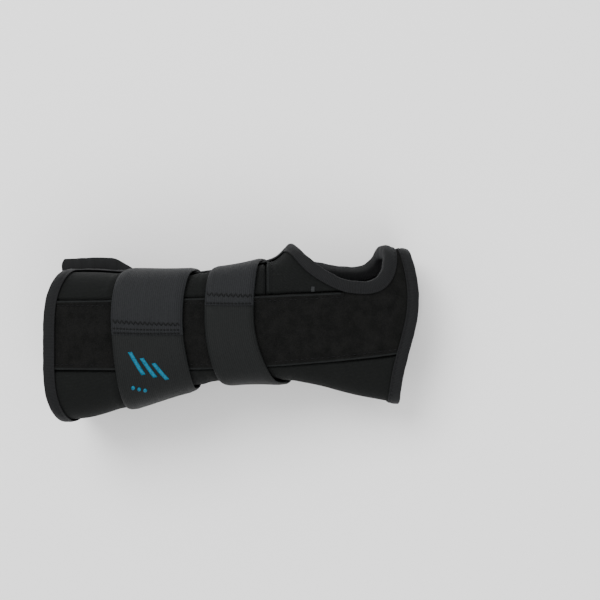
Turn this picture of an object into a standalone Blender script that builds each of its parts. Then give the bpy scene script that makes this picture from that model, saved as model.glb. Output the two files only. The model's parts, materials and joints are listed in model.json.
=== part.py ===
"""A left wrist splint, closed, lying on its back with the palm side up.

+X runs from the forearm to the fingers, +Y to the thumb side and +Z out of the palm side.
Every soft layer is laid out on one skin, which is addressed by two numbers: a place along the
splint in millimetres, and a turn round it, where 0 is the thumb side, 0.25 the palm side,
0.5 the little-finger side and 0.75 the back. A height is measured outward from that skin.
"""

import math

import bmesh
import bpy
import numpy as np
from mathutils import Vector

MM = 0.001

# The skin: place, little-finger edge, thumb edge and depth at each station, all in millimetres.
STATIONS = np.array(
    (
        (-124.0, -62.4, 29.2, 78.0),
        (-90.0, -61.0, 30.2, 74.0),
        (-55.0, -50.2, 28.2, 68.0),
        (-20.0, -39.8, 28.2, 59.0),
        (5.0, -35.8, 30.4, 55.5),
        (30.0, -35.4, 36.0, 54.0),
        (55.0, -39.2, 43.6, 52.0),
        (85.0, -46.6, 45.2, 47.5),
        (122.0, -52.5, 42.0, 43.0),
    )
)
PALM_POWER = 3.5
BACK_POWER = 2.4
QUARTER_POINTS = 49
BEND_RADIUS = 600.0
END_REACH = 14.0
FLAT_DEPTH = 1.0

# The two ends.
FOREARM_END_X = -108.0
FOREARM_END_BOW = 7.4
HAND_END_X = 110.6
HAND_END_SWING = 5.4
HAND_END_PEAK_Y = 14.0
HAND_END_HALF_WAVE = 62.0

# Heights of the layers, from the skin inward.
SHELL_BACK = -2.6
COVER_BACK = -1.0
LINER_FACE = -3.6
LINER_BACK = -5.2
POCKET_DROP = 1.4
SEAM_GAP = 0.4

# Seams between the panels.
POCKET_TOP_Y = 12.4
POCKET_TOP_RISE = 4.9
POCKET_FOOT_Y = -30.0
POCKET_FOOT_RISE = 9.7
THENAR_START = 25.2
THENAR_END = 72.0
BACK_SEAM = 0.70
LINER_SEAM = 0.60
FACING_SHARE = 0.35

# The opening along the thumb side, and the thumb hole that it runs into.
PALM_EDGE = 0.012
BACK_EDGE = -0.040
HOLE_START = 41.5
HOLE_PEAK = 75.6
HOLE_END = 99.4
HOLE_PALM_TURN = 0.157
HOLE_BACK_TURN = -0.105
HOLE_NEAR_POWER = 1.7
HOLE_FAR_POWER = 3.4
PALM_EDGE_STATIONS = 12
BACK_EDGE_STATIONS = 23
WEB_SEAM = 0.002
FLAP_FLARE = 9.0
FLAP_FULL_TO = -84.0
FLAP_GONE_AT = -55.0
CORNER_FLARE = 6.0
CORNER_PLACE = 41.0
CORNER_LENGTH = 7.0
CORNER_TURN = 0.10

# The edge binding: a folded tape over the layers, with a small gap to them.
TAPE = 0.7
TAPE_GAP = 0.6
TAPE_WIDTH = 6.5
TAPE_LINER_GAP = 0.9
TAPE_END_GAP = 1.9
CORNER_CUT = 0.5

# The stay in the palm pocket.
STAY_Y = -7.0
STAY_WIDTH = 28.0
STAY_TOP = -3.0
STAY_THICKNESS = 1.6
STAY_START = -98.0
STAY_END = 86.0
STAY_CORNER = 11.0
TIP_LENGTH = 13.0
TIP_SWELL = 0.1
TIP_GAP = 0.3
MOUTH_MARGIN = 0.8
MOUTH_LENGTH = 8.0
MOUTH_RISE = 0.3

# The two straps.
STRAP_THICKNESS = 1.5
STRAP_HEIGHT = 2.7
HINGE_GAP = 0.3
BACK_HINGE = 0.875
PALM_HINGE = 1.085
FOREARM_STRAP_WIDTH = 43.0
FOREARM_STRAP_END_Y = -8.6
WRIST_STRAP_WIDTH = 29.0
WRIST_STRAP_END_Y = 8.9
HOOK_HEIGHT = 0.85
HOOK_THICKNESS = 0.7
HOOK_REACH = 0.4
HOOK_WIDTH_SHARE = 0.8

# Finishes: colour and roughness.
LOOP_FABRIC = ((0.008, 0.008, 0.008), 0.95)
SIDE_FABRIC = ((0.010, 0.011, 0.011), 0.90)
LINING = ((0.015, 0.015, 0.016), 1.00)
BINDING_TAPE = ((0.035, 0.036, 0.038), 0.70)
STRAP_ELASTIC = ((0.030, 0.031, 0.033), 0.75)
HOOK_TAPE = ((0.012, 0.012, 0.013), 0.55)
STAY_TIP = ((0.030, 0.030, 0.032), 0.40)
STAY_METAL = ((0.62, 0.63, 0.64), 0.35)


def smooth_step(value):
    """0 below 0, 1 above 1, and an S curve between."""
    held = min(1.0, max(0.0, value))
    return held * held * (3 - 2 * held)


def station(s):
    """Little-finger edge, thumb edge and depth of the skin at a place, on smooth curves."""
    places = STATIONS[:, 0]
    slopes = np.gradient(STATIONS[:, 1:], places, axis=0)
    k = int(np.clip(np.searchsorted(places, s) - 1, 0, len(places) - 2))
    span = places[k + 1] - places[k]
    t = (s - places[k]) / span
    here, there = STATIONS[k, 1:], STATIONS[k + 1, 1:]
    return (
        (2 * t**3 - 3 * t**2 + 1) * here
        + (t**3 - 2 * t**2 + t) * span * slopes[k]
        + (3 * t**2 - 2 * t**3) * there
        + (t**3 - t**2) * span * slopes[k + 1]
    )


def quarter(half_width, half_depth, power):
    """A quarter of a superellipse from its side to its middle: across, up, length so far."""
    angle = np.linspace(0.0, math.pi / 2, QUARTER_POINTS)
    across = half_width * np.abs(np.cos(angle)) ** (2 / power)
    up = half_depth * np.abs(np.sin(angle)) ** (2 / power)
    steps = np.hypot(np.diff(across), np.diff(up))
    return across, up, np.concatenate(([0.0], np.cumsum(steps)))


def section(s, turn):
    """Where the skin is at a place and turn (y, z), its outward normal, and mm in a full turn."""
    ulnar, radial, depth = station(s)
    half_width, half_depth = (radial - ulnar) / 2, depth / 2
    turn = turn % 1.0
    on_palm = turn < 0.5
    power = PALM_POWER if on_palm else BACK_POWER
    across, up, length = quarter(half_width, half_depth, power)
    from_side = 0.25 - abs(turn % 0.5 - 0.25)
    reach = 4 * from_side * length[-1]
    y, z = np.interp(reach, length, across), np.interp(reach, length, up)
    normal_y = (y / half_width) ** (power - 1) / half_width
    normal_z = (z / half_depth) ** (power - 1) / half_depth
    size = math.hypot(normal_y, normal_z)
    side = 1.0 if (turn < 0.25 or turn >= 0.75) else -1.0
    face = 1.0 if on_palm else -1.0
    point = ((ulnar + radial) / 2 + side * y, face * z - half_depth)
    return point, (side * normal_y / size, face * normal_z / size), 4 * length[-1]


def flare(s, turn):
    """How far the free edges on the thumb side stand out past the skin."""
    signed = (turn + 0.5) % 1.0 - 0.5
    flap = FLAP_FLARE * (1 - smooth_step((s - FLAP_FULL_TO) / (FLAP_GONE_AT - FLAP_FULL_TO)))
    flap *= smooth_step((signed + 0.11) / 0.07) if signed < PALM_EDGE / 2 + BACK_EDGE / 2 else 0.0
    corner = CORNER_FLARE * math.exp(-(((s - CORNER_PLACE) / CORNER_LENGTH) ** 2))
    return flap + corner * math.exp(-((signed / CORNER_TURN) ** 2))


def layer(s, turn, height):
    """A point of the straight splint at a height off the skin, flat where the stay lies."""
    (y, z), (normal_y, normal_z), _ = section(s, turn)
    flat = height - POCKET_DROP * min(1.0, max(0.0, height / COVER_BACK))
    y += height * normal_y + flare(s, turn)
    return s, y, min(z + height * normal_z, flat)


def bent(s, y, z):
    """A point of the straight splint after the bend that cocks the wrist back."""
    angle = s / BEND_RADIUS
    reach = BEND_RADIUS + z
    return reach * math.sin(angle), y, reach * math.cos(angle) - BEND_RADIUS


def level_angle():
    """The turn about Y that sets both ends of the back on one level."""
    low_forearm = bent(*layer(forearm_edge(0.75), 0.75, 0.0))
    low_hand = bent(*layer(hand_edge(0.75), 0.75, 0.0))
    return math.atan2(low_hand[2] - low_forearm[2], low_hand[0] - low_forearm[0])


def forearm_edge(turn):
    """The forearm end is cut square to the forearm, and bows out a little over the palm side."""
    ulnar, radial, _ = station(FOREARM_END_X)
    (y, z), _, _ = section(FOREARM_END_X, turn)
    off_middle = (2 * y - ulnar - radial) / (radial - ulnar)
    bow = FOREARM_END_BOW * off_middle**4 * (1 - smooth_step((turn % 1.0 - 0.5) / (BACK_SEAM - 0.5)))
    return BEND_RADIUS * math.asin((FOREARM_END_X + bow) / (BEND_RADIUS + z))


def hand_edge(turn):
    """The hand end follows the crease of the palm: longest near the index finger."""
    (y, z), _, _ = section(HAND_END_X, turn)
    wave = math.cos(math.pi * (y - HAND_END_PEAK_Y) / HAND_END_HALF_WAVE)
    return BEND_RADIUS * math.asin((HAND_END_X + HAND_END_SWING * wave) / (BEND_RADIUS + z))


LEVEL = level_angle()


def placed(s, y, z):
    """A point of the straight splint, bent and levelled, in metres."""
    x, y, z = bent(s, y, z)
    cos, sin = math.cos(LEVEL), math.sin(LEVEL)
    return Vector((x * cos + z * sin, y, z * cos - x * sin)) * MM


def at(s, turn, height):
    return placed(*layer(s, turn, height))


def turn_at(s, y):
    """The turn on the palm side where the skin is at this y."""
    turns = np.linspace(0.0, 0.5, 2 * QUARTER_POINTS)
    across = [section(s, turn)[0][0] for turn in turns]
    return float(np.interp(-y, np.negative(across), turns))


def pocket_top(s):
    run = (s + 112.0) / 177.0
    return s, turn_at(s, POCKET_TOP_Y + POCKET_TOP_RISE * max(0.0, run) ** 1.8)


def pocket_foot(s):
    run = (s + 112.0) / 220.0
    return s, turn_at(s, POCKET_FOOT_Y + POCKET_FOOT_RISE * max(0.0, run) ** 3)


def shifted(point, gap):
    """The same point of the skin, a gap in millimetres further round it."""
    s, turn = point
    return s, turn + gap / section(s, turn)[2]


def hole_quarter(start, end, power, count):
    """Points along a quarter of a superellipse from one point of the skin to another.

    It leaves the start across the splint and reaches the end along it.
    """
    points = []
    for angle in np.linspace(0.0, 1.0, count) ** (power / 2) * math.pi / 2:
        along = math.cos(angle) ** (2 / power)
        over = math.sin(angle) ** (2 / power)
        points.append((end[0] + (start[0] - end[0]) * along, start[1] + (end[1] - start[1]) * over))
    return points


def palm_hole_edge():
    """The palm side of the thumb hole, from its forearm corner to the web."""
    peak = (HOLE_PEAK, HOLE_PALM_TURN)
    near = hole_quarter((HOLE_START, PALM_EDGE), peak, HOLE_NEAR_POWER, 11)
    far = hole_quarter((HOLE_END, WEB_SEAM), peak, HOLE_FAR_POWER, 10)
    return near + far[::-1][1:]


def back_hole_edge():
    """The back side of the thumb hole, from its forearm corner to the web."""
    peak = (HOLE_PEAK, HOLE_BACK_TURN)
    near = hole_quarter((HOLE_START, BACK_EDGE), peak, HOLE_NEAR_POWER, 9)
    far = hole_quarter((HOLE_END, -WEB_SEAM), peak, HOLE_FAR_POWER, 8)
    return near + far[::-1][1:]


def material(name, finish, metallic=0.0):
    """A sub-part's own material, from a finish's colour and roughness."""
    colour, roughness = finish
    made = bpy.data.materials.new(name)
    made.use_nodes = True
    shader = made.node_tree.nodes["Principled BSDF"]
    shader.inputs["Base Color"].default_value = (*colour, 1.0)
    shader.inputs["Roughness"].default_value = roughness
    shader.inputs["Metallic"].default_value = metallic
    return made


def new_object(name, points, faces, surface, origin=None):
    """One closed mesh object whose origin is at a given point of the splint."""
    origin = origin or Vector((0.0, 0.0, 0.0))
    mesh = bpy.data.meshes.new(name)
    mesh.from_pydata([point - origin for point in points], [], faces)
    work = bmesh.new()
    work.from_mesh(mesh)
    bmesh.ops.recalc_face_normals(work, faces=work.faces)
    work.to_mesh(mesh)
    work.free()
    mesh.shade_smooth()
    mesh.set_sharp_from_angle(angle=math.radians(40))
    mesh.materials.append(surface)
    made = bpy.data.objects.new(name, mesh)
    bpy.context.scene.collection.objects.link(made)
    made.location = origin
    made.parent = splint
    return made


def grid_faces(columns, rows, first):
    """Quads of a grid whose points are numbered column by column from first."""
    return [
        (first + i * rows + j, first + (i + 1) * rows + j,
         first + (i + 1) * rows + j + 1, first + i * rows + j + 1)
        for i in range(columns - 1)
        for j in range(rows - 1)
    ]


def sheet(name, grid, top, back, surface):
    """A closed layer over a grid of (place, turn) points, between two heights."""
    columns, rows = len(grid), len(grid[0])
    count = columns * rows
    points = [at(s, turn, top) for column in grid for s, turn in column]
    points += [at(s, turn, back) for column in grid for s, turn in column]
    faces = grid_faces(columns, rows, 0)
    faces += [face[::-1] for face in grid_faces(columns, rows, count)]
    rim = [i * rows for i in range(columns)]
    rim += [(columns - 1) * rows + j for j in range(1, rows)]
    rim += [i * rows + rows - 1 for i in range(columns - 2, -1, -1)]
    rim += list(range(rows - 2, 0, -1))
    for here, there in zip(rim, rim[1:] + rim[:1]):
        faces.append((here, there, there + count, here + count))
    return new_object(name, points, faces, surface)


def swept(name, rings, surface, closed=False, origin=None):
    """A closed solid through rings of points, joined end to end where it is closed."""
    size = len(rings[0])
    points = [point for ring in rings for point in ring]
    faces = []
    for k in range(len(rings) if closed else len(rings) - 1):
        here, there = k * size, (k + 1) % len(rings) * size
        for j in range(size):
            following = (j + 1) % size
            faces.append((here + j, here + following, there + following, there + j))
    if not closed:
        faces.append(tuple(range(size)))
        faces.append(tuple(range(len(points) - 1, len(points) - size - 1, -1)))
    return new_object(name, points, faces, surface, origin)


def panel_grid(low, high, rows, forearm_end=False, hand_end=False, crowd=1.0):
    """Columns of (place, turn) points between two seams, out to the splint's own ends.

    The columns' points crowd together towards the low seam where crowd is over 1.
    """
    grid = []
    for start, end in zip(low, high):
        column = []
        for j in range(rows):
            share = (j / (rows - 1)) ** crowd
            s = start[0] + (end[0] - start[0]) * share
            turn = start[1] + (end[1] - start[1]) * share
            if forearm_end:
                straight = low[0][0] + (high[0][0] - low[0][0]) * share
                s += (forearm_edge(turn) - straight) * max(0.0, 1 - (s - straight) / END_REACH)
            if hand_end:
                straight = low[-1][0] + (high[-1][0] - low[-1][0]) * share
                s += (hand_edge(turn) - straight) * max(0.0, 1 - (straight - s) / END_REACH)
            column.append((s, turn))
        grid.append(column)
    return grid


def line(start, end, turn, count):
    """Evenly spaced points of one turn between two places."""
    return [(s, turn) for s in np.linspace(start, end, count)]


def along(seam, start, end, count):
    """Evenly spaced points of a seam, which gives a point of the skin for a place."""
    return [seam(s) for s in np.linspace(start, end, count)]


def facing(seam, points, start, end):
    """Points of another seam from start to end, each about level with its own point here."""
    progress = [0.0]
    for before, after in zip(points, points[1:]):
        girth = section(*after)[2]
        across = FACING_SHARE * (after[1] - before[1]) * girth
        progress.append(progress[-1] + math.hypot(after[0] - before[0], across))
    return [seam(start + (end - start) * step / progress[-1]) for step in progress]


def level_line(turn):
    """A seam that keeps one turn."""
    return lambda s: (s, turn)


def tape_profile(folded_over):
    """The folded tape's outline: millimetres in from the edge, and height off the skin.

    A tape whose width goes round the splint has a middle line as well, to follow the skin.
    """
    width = TAPE_WIDTH
    outer, face = TAPE_GAP + TAPE, TAPE_GAP
    back = LINER_BACK - TAPE_LINER_GAP
    inner = back - TAPE
    rim, wall = -TAPE_GAP - TAPE, -TAPE_GAP
    middle = width / 2
    outside = [(width, face), (width, outer), (middle, outer), (rim + CORNER_CUT, outer),
               (rim, outer - CORNER_CUT), (rim, inner + CORNER_CUT), (rim + CORNER_CUT, inner),
               (middle, inner), (width, inner)]
    inside = [(width, back), (middle, back), (wall, back), (wall, face), (middle, face)]
    return [point for point in outside + inside if folded_over or point[0] != middle]


def binding(name, edge, inward, closed=False, folded_over=False):
    """The folded tape along an edge of the splint; inward is +1 or -1, left or right of it."""
    rings = []
    count = len(edge)
    for k, (s, turn) in enumerate(edge):
        before = edge[(k - 1) % count] if closed or k else edge[0]
        after = edge[(k + 1) % count] if closed or k < count - 1 else edge[-1]
        girth = section(s, turn)[2]
        step_turn = (after[1] - before[1] + 0.5) % 1.0 - 0.5
        along_s, round_g = after[0] - before[0], step_turn * girth
        size = math.hypot(along_s, round_g)
        in_s, in_turn = -inward * round_g / size, inward * along_s / size / girth
        rings.append([at(s + depth * in_s, turn + depth * in_turn, height)
                      for depth, height in tape_profile(folded_over)])
    return swept(name, rings, material(name, BINDING_TAPE), closed)


def forearm_strap_place(turn):
    """The forearm strap's middle: square across, and a little nearer the elbow on the palm."""
    return -39.6 - 5.8 * max(0.0, math.sin(2 * math.pi * (turn + 0.05))) ** 2


def wrist_strap_place(turn):
    """The wrist strap's middle: a loop that leans to the fingers on the little-finger side."""
    once, twice = 2 * math.pi * (turn - 0.42), 4 * math.pi * (turn - 0.5)
    return 16.0 + 14.0 * math.sin(once) + 2.0 * math.sin(twice)


def strap_side(place, turn, width):
    """Half a strap's width square to its run, as a step along the splint and a step of turn."""
    step = 0.002
    girth = section(place(turn), turn)[2]
    along_s, round_g = place(turn + step) - place(turn - step), 2 * step * girth
    half = width / 2 / math.hypot(along_s, round_g)
    return round_g * half, -along_s * half / girth


def strap_line(place, turn, width, height, slant=0.0):
    """The two ends of a straight line across a strap; a slant turns it by that much each way."""
    s = place(turn)
    side_s, side_turn = strap_side(place, turn, width)
    return [at(s + k * side_s, turn + k * (side_turn + slant), height) for k in (-1, 1)]


def level_slant(place, turn, width):
    """The slant that sets a line across a strap at one y from edge to edge."""
    y = section(place(turn), turn)[0][0]
    side_s, side_turn = strap_side(place, turn, width)
    low, high = (turn_at(place(turn) + k * side_s, y) for k in (-1, 1))
    return (high - low) / 2 - side_turn


def strap_turns(place, start, end):
    """Turns along a strap about 6 mm apart, after half a hinge gap at each end."""
    girth = section(place(start), start)[2]
    half_gap = HINGE_GAP / 2 / girth
    count = max(4, round((end - start) * girth / 6.0))
    return np.linspace(start + half_gap, end - half_gap, count)


def strap_piece(name, place, width, turns, heights, finish, slants, hinge=None):
    """A stretch of strap. A hinge is the (start, end) of the line on its outer face it turns on."""
    rings = []
    for turn, slant in zip(turns, slants):
        low = strap_line(place, turn, width, heights[0], slant)
        high = strap_line(place, turn, width, heights[1], slant)
        rings.append([low[0], low[1], high[1], high[0]])
    origin = (hinge[0] + hinge[1]) / 2 if hinge else None
    return swept(name, rings, material(name, finish), origin=origin)


def strap(name, place, width, end_y):
    """A strap that goes once round: a sewn stretch, a side that lifts, and a tab that peels."""
    heights = (STRAP_HEIGHT, STRAP_HEIGHT + STRAP_THICKNESS)
    meeting = turn_at(place(0.25), end_y)
    back_hinge = strap_line(place, BACK_HINGE, width, heights[1])
    palm_hinge = strap_line(place, PALM_HINGE, width, heights[1])
    anchor_turns = strap_turns(place, meeting, BACK_HINGE)
    side_turns = strap_turns(place, BACK_HINGE, PALM_HINGE)
    tab_turns = strap_turns(place, PALM_HINGE, 1 + meeting)
    slant = level_slant(place, meeting, width)
    anchor_slants = slant * np.clip(1 - (anchor_turns - meeting) / (0.5 - meeting), 0, 1)
    tab_slants = slant * (tab_turns - PALM_HINGE) / (1 + meeting - PALM_HINGE)
    strap_piece(name + "_anchor", place, width, anchor_turns, heights, STRAP_ELASTIC, anchor_slants)
    strap_piece(name + "_side", place, width, side_turns, heights, STRAP_ELASTIC,
                np.zeros(len(side_turns)), back_hinge)
    strap_piece(name + "_tab", place, width, tab_turns, heights, STRAP_ELASTIC, tab_slants, palm_hinge)
    tab_end = tab_turns[-2]
    hook_turns = np.linspace(tab_end - HOOK_REACH * (tab_end - PALM_HINGE), tab_end, 4)
    hook_heights = (HOOK_HEIGHT, HOOK_HEIGHT + HOOK_THICKNESS)
    hook_slants = slant * (hook_turns - PALM_HINGE) / (1 + meeting - PALM_HINGE)
    strap_piece(name + "_hook_patch", place, width * HOOK_WIDTH_SHARE, hook_turns,
                hook_heights, HOOK_TAPE, hook_slants, palm_hinge)


def strip_rings(start, end, heights, round_start, round_end, count):
    """Rectangles across the stay, closer together round its round corners."""
    bend = [STAY_CORNER * (1 - math.cos(a)) for a in np.linspace(0.0, math.pi / 2, 6)]
    first = [start + step for step in bend] if round_start else [start]
    last = [end - step for step in reversed(bend)] if round_end else [end]
    places = first + list(np.linspace(first[-1], last[0], count)[1:-1]) + last
    rings = []
    for s in places:
        into = min(s - start if round_start else STAY_CORNER, end - s if round_end else STAY_CORNER)
        missing = max(0.0, STAY_CORNER - into)
        half = STAY_WIDTH / 2 - STAY_CORNER + math.sqrt(STAY_CORNER**2 - missing**2)
        low, high = STAY_Y - half, STAY_Y + half
        back, top = heights
        rings.append([placed(s, low, back), placed(s, high, back),
                      placed(s, high, top), placed(s, low, top)])
    return rings


def palmar_stay():
    """The aluminium strip in the palm pocket, with a soft cap on each end.

    It follows the splint's own bend, so it slides out of the forearm end about the bend's centre.
    """
    pivot = placed(0.0, 0.0, -BEND_RADIUS)
    back = STAY_TOP - STAY_THICKNESS
    low, high = STAY_START + TIP_LENGTH + TIP_GAP, STAY_END - TIP_LENGTH - TIP_GAP
    swept("palmar_stay", strip_rings(low, high, (back, STAY_TOP), False, False, 22),
          material("palmar_stay", STAY_METAL, metallic=1.0), origin=pivot)
    caps = (("stay_tip_forearm", STAY_START, STAY_START + TIP_LENGTH, True),
            ("stay_tip_hand", STAY_END - TIP_LENGTH, STAY_END, False))
    for name, start, end, at_forearm in caps:
        rings = strip_rings(start, end, (back - TIP_SWELL, STAY_TOP + TIP_SWELL),
                            at_forearm, not at_forearm, 3)
        swept(name, rings, material(name, STAY_TIP), origin=pivot)


def pocket_mouth(tape):
    """Cuts the slit in the forearm tape that the stay slides out through."""
    middle = BEND_RADIUS * math.asin(FOREARM_END_X / BEND_RADIUS)
    back = STAY_TOP - STAY_THICKNESS - MOUTH_RISE
    half = STAY_WIDTH / 2 + MOUTH_MARGIN
    rings = []
    for s in (middle - MOUTH_LENGTH / 2, middle + MOUTH_LENGTH / 2):
        rings.append([placed(s, STAY_Y - half, back), placed(s, STAY_Y + half, back),
                      placed(s, STAY_Y + half, STAY_TOP + MOUTH_RISE),
                      placed(s, STAY_Y - half, STAY_TOP + MOUTH_RISE)])
    cutter = swept("pocket_mouth_cutter", rings, tape.data.materials[0])
    cutter.hide_render = True
    cutter.display_type = "WIRE"
    cut = tape.modifiers.new("pocket_mouth", "BOOLEAN")
    cut.operation = "DIFFERENCE"
    cut.solver = "EXACT"
    cut.object = cutter


def panels():
    """The shell's panels, sewn edge to edge with a small gap at each seam."""
    start, end = forearm_edge(0.25), hand_edge(0.25)
    hole = palm_hole_edge()
    beside_hole = [point for point in hole if point[0] >= THENAR_END + SEAM_GAP]
    beyond_hole = line(HOLE_END + 2.0, hand_edge(0.0), WEB_SEAM, 4)
    seam = along(pocket_top, start, THENAR_END + SEAM_GAP, 20)
    high = [shifted(point, SEAM_GAP / 2) for point in seam] + beside_hole + beyond_hole
    low = [shifted(point, -SEAM_GAP / 2) for point in facing(pocket_foot, high, start, end)]
    sheet("palmar_pocket_cover", panel_grid(high, low, 8, True, True), 0.0, COVER_BACK,
          material("palmar_pocket_cover", LOOP_FABRIC))

    low = line(start, THENAR_START - SEAM_GAP, PALM_EDGE, 16)
    high = [shifted(p, -SEAM_GAP / 2) for p in along(pocket_top, start, THENAR_START - SEAM_GAP, 16)]
    side_panel("radial_panel", panel_grid(low, high, 7, forearm_end=True))

    before_hole = line(THENAR_START, HOLE_START - 1.5, PALM_EDGE, 6)
    low = before_hole + [point for point in hole if point[0] <= THENAR_END]
    seam = facing(pocket_top, low, THENAR_START, THENAR_END)
    high = [shifted(point, -SEAM_GAP / 2) for point in seam]
    side_panel("thenar_panel", panel_grid(low, high, 7))

    low = [shifted(p, SEAM_GAP / 2) for p in along(pocket_foot, start, end, 22)]
    high = line(start, end, BACK_SEAM, 22)
    side_panel("ulnar_panel", panel_grid(low, high, 11, True, True))

    low = back_free_edge()
    high = [shifted(p, SEAM_GAP) for p in facing(level_line(BACK_SEAM), low, start, end)]
    side_panel("dorsal_panel", panel_grid(low, high, 9, True, True, 1.7))


def side_panel(name, grid):
    return sheet(name, grid, 0.0, SHELL_BACK, material(name, SIDE_FABRIC))


def free_edge(turn, hole, web):
    """A free edge from end to end: the opening, the thumb hole and the web."""
    return opening(turn) + hole + line(HOLE_END + 2.0, hand_edge(0.0), web, 4)


def opening(turn):
    """The free edge from the forearm end to just before the thumb hole."""
    stations = PALM_EDGE_STATIONS if turn == PALM_EDGE else BACK_EDGE_STATIONS
    straight = line(forearm_edge(turn), THENAR_START - 4.0, turn, stations)
    return straight + line(THENAR_START, HOLE_START - 1.5, turn, 6)


def back_free_edge():
    edge = free_edge(BACK_EDGE, back_hole_edge(), -WEB_SEAM)
    return [(s, turn + 1) for s, turn in edge]


def liners():
    """The two halves of the soft lining, under the panels."""
    start, end = forearm_edge(0.25), hand_edge(0.25)
    low = free_edge(PALM_EDGE, palm_hole_edge(), WEB_SEAM)
    high = facing(level_line(LINER_SEAM), low, start, end)
    sheet("palmar_liner", panel_grid(low, high, 18, True, True, 1.1), LINER_FACE, LINER_BACK,
          material("palmar_liner", LINING))
    low = back_free_edge()
    high = [shifted(p, SEAM_GAP) for p in facing(level_line(LINER_SEAM), low, start, end)]
    sheet("dorsal_liner", panel_grid(low, high, 12, True, True, 1.5), LINER_FACE, LINER_BACK,
          material("dorsal_liner", LINING))


def bindings():
    """The folded tapes round every edge."""
    turns = np.linspace(PALM_EDGE, 1 + BACK_EDGE, 60)
    around = [(forearm_edge(turn), turn) for turn in turns]
    pocket_mouth(binding("forearm_binding", around, -1))
    turns = np.linspace(0.0, 1.0, 60, endpoint=False)
    around = [(hand_edge(turn), turn) for turn in turns]
    binding("hand_binding", around, 1, closed=True)
    hole = palm_hole_edge() + back_hole_edge()[::-1]
    binding("thumb_binding", hole, 1, folded_over=True)
    joint = TAPE_WIDTH + TAPE_END_GAP
    for name, turn, inward in (("palm_edge_binding", PALM_EDGE, 1), ("back_edge_binding", BACK_EDGE, -1)):
        start, end = forearm_edge(turn) + joint, HOLE_START - joint
        between = [point for point in opening(turn) if start + 1 < point[0] < end - 1]
        binding(name, [(start, turn)] + between + [(end, turn)], inward, folded_over=True)


def settle():
    """Presses the lowest parts flat and sets the bottom centre of the whole at the origin."""
    bpy.context.view_layer.update()
    shown = [obj for obj in bpy.context.scene.objects if obj.type == "MESH" and not obj.hide_render]
    lowest = min((obj.matrix_world @ v.co).z for obj in shown for v in obj.data.vertices)
    floor = lowest + FLAT_DEPTH * MM
    for obj in shown:
        for vertex in obj.data.vertices:
            vertex.co.z = max(vertex.co.z, floor - obj.location.z)
    corners = np.array([obj.matrix_world @ v.co for obj in shown for v in obj.data.vertices])
    middle = (corners.min(axis=0) + corners.max(axis=0)) / 2
    splint.location = Vector((-middle[0], -middle[1], -floor))


for old in list(bpy.data.objects):
    bpy.data.objects.remove(old, do_unlink=True)
splint = bpy.data.objects.new("splint", None)
bpy.context.scene.collection.objects.link(splint)
panels()
liners()
bindings()
palmar_stay()
strap("forearm_strap", forearm_strap_place, FOREARM_STRAP_WIDTH, FOREARM_STRAP_END_Y)
strap("wrist_strap", wrist_strap_place, WRIST_STRAP_WIDTH, WRIST_STRAP_END_Y)
settle()
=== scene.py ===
"""The looks of a left wrist splint, closed, lying on its back with the palm side up.

Every soft piece is laid out on the same skin as the solids. A point of it has a place along the
splint in millimetres, a turn round it (0 thumb side, 0.25 palm side, 0.5 little-finger side,
0.75 back) and a height outward from the skin.
"""

import json
import math

import bmesh
import bpy
import numpy as np
from mathutils import Matrix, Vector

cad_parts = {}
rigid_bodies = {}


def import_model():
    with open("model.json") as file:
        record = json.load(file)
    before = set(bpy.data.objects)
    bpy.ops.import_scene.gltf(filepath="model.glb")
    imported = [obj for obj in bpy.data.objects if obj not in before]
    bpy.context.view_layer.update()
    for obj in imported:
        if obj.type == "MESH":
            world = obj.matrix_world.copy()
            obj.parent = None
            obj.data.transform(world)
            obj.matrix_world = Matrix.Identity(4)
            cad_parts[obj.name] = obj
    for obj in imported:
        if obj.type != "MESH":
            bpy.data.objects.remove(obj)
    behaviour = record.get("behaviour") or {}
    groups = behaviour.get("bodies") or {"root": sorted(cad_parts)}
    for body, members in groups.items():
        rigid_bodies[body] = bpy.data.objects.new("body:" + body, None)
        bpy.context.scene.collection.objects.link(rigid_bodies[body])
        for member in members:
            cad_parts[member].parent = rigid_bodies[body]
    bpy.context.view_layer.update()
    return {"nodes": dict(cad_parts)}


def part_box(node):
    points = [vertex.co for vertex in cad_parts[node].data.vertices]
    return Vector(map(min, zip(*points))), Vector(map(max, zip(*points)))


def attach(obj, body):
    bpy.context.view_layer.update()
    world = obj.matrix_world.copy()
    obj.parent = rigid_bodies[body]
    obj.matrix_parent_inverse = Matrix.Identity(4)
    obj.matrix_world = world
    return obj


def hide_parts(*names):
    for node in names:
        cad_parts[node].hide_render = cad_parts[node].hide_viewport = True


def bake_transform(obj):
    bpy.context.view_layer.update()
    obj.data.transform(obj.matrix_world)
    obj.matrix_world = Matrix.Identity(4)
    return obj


for old in list(bpy.data.objects):
    bpy.data.objects.remove(old, do_unlink=True)
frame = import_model()

MM = 0.001

# The skin, as in the solids: place, little-finger edge, thumb edge and depth at each station.
STATIONS = np.array((
    (-124.0, -62.4, 29.2, 78.0),
    (-90.0, -61.0, 30.2, 74.0),
    (-55.0, -50.2, 28.2, 68.0),
    (-20.0, -39.8, 28.2, 59.0),
    (5.0, -35.8, 30.4, 55.5),
    (30.0, -35.4, 36.0, 54.0),
    (55.0, -39.2, 43.6, 52.0),
    (85.0, -46.6, 45.2, 47.5),
    (122.0, -52.5, 42.0, 43.0),
))
PALM_POWER = 3.5
BACK_POWER = 2.4
QUARTER_POINTS = 193
PLACES = np.arange(-128.0, 129.0, 1.0)
TURNS = np.linspace(0.0, 1.0, 801)
BEND_RADIUS = 600.0
END_REACH = 14.0
FOREARM_END_X = -108.0
FOREARM_END_BOW = 7.4
HAND_END_X = 110.6
HAND_END_SWING = 5.4
HAND_END_PEAK_Y = 14.0
HAND_END_HALF_WAVE = 62.0
MEAN_GIRTH = 225.0

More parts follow.
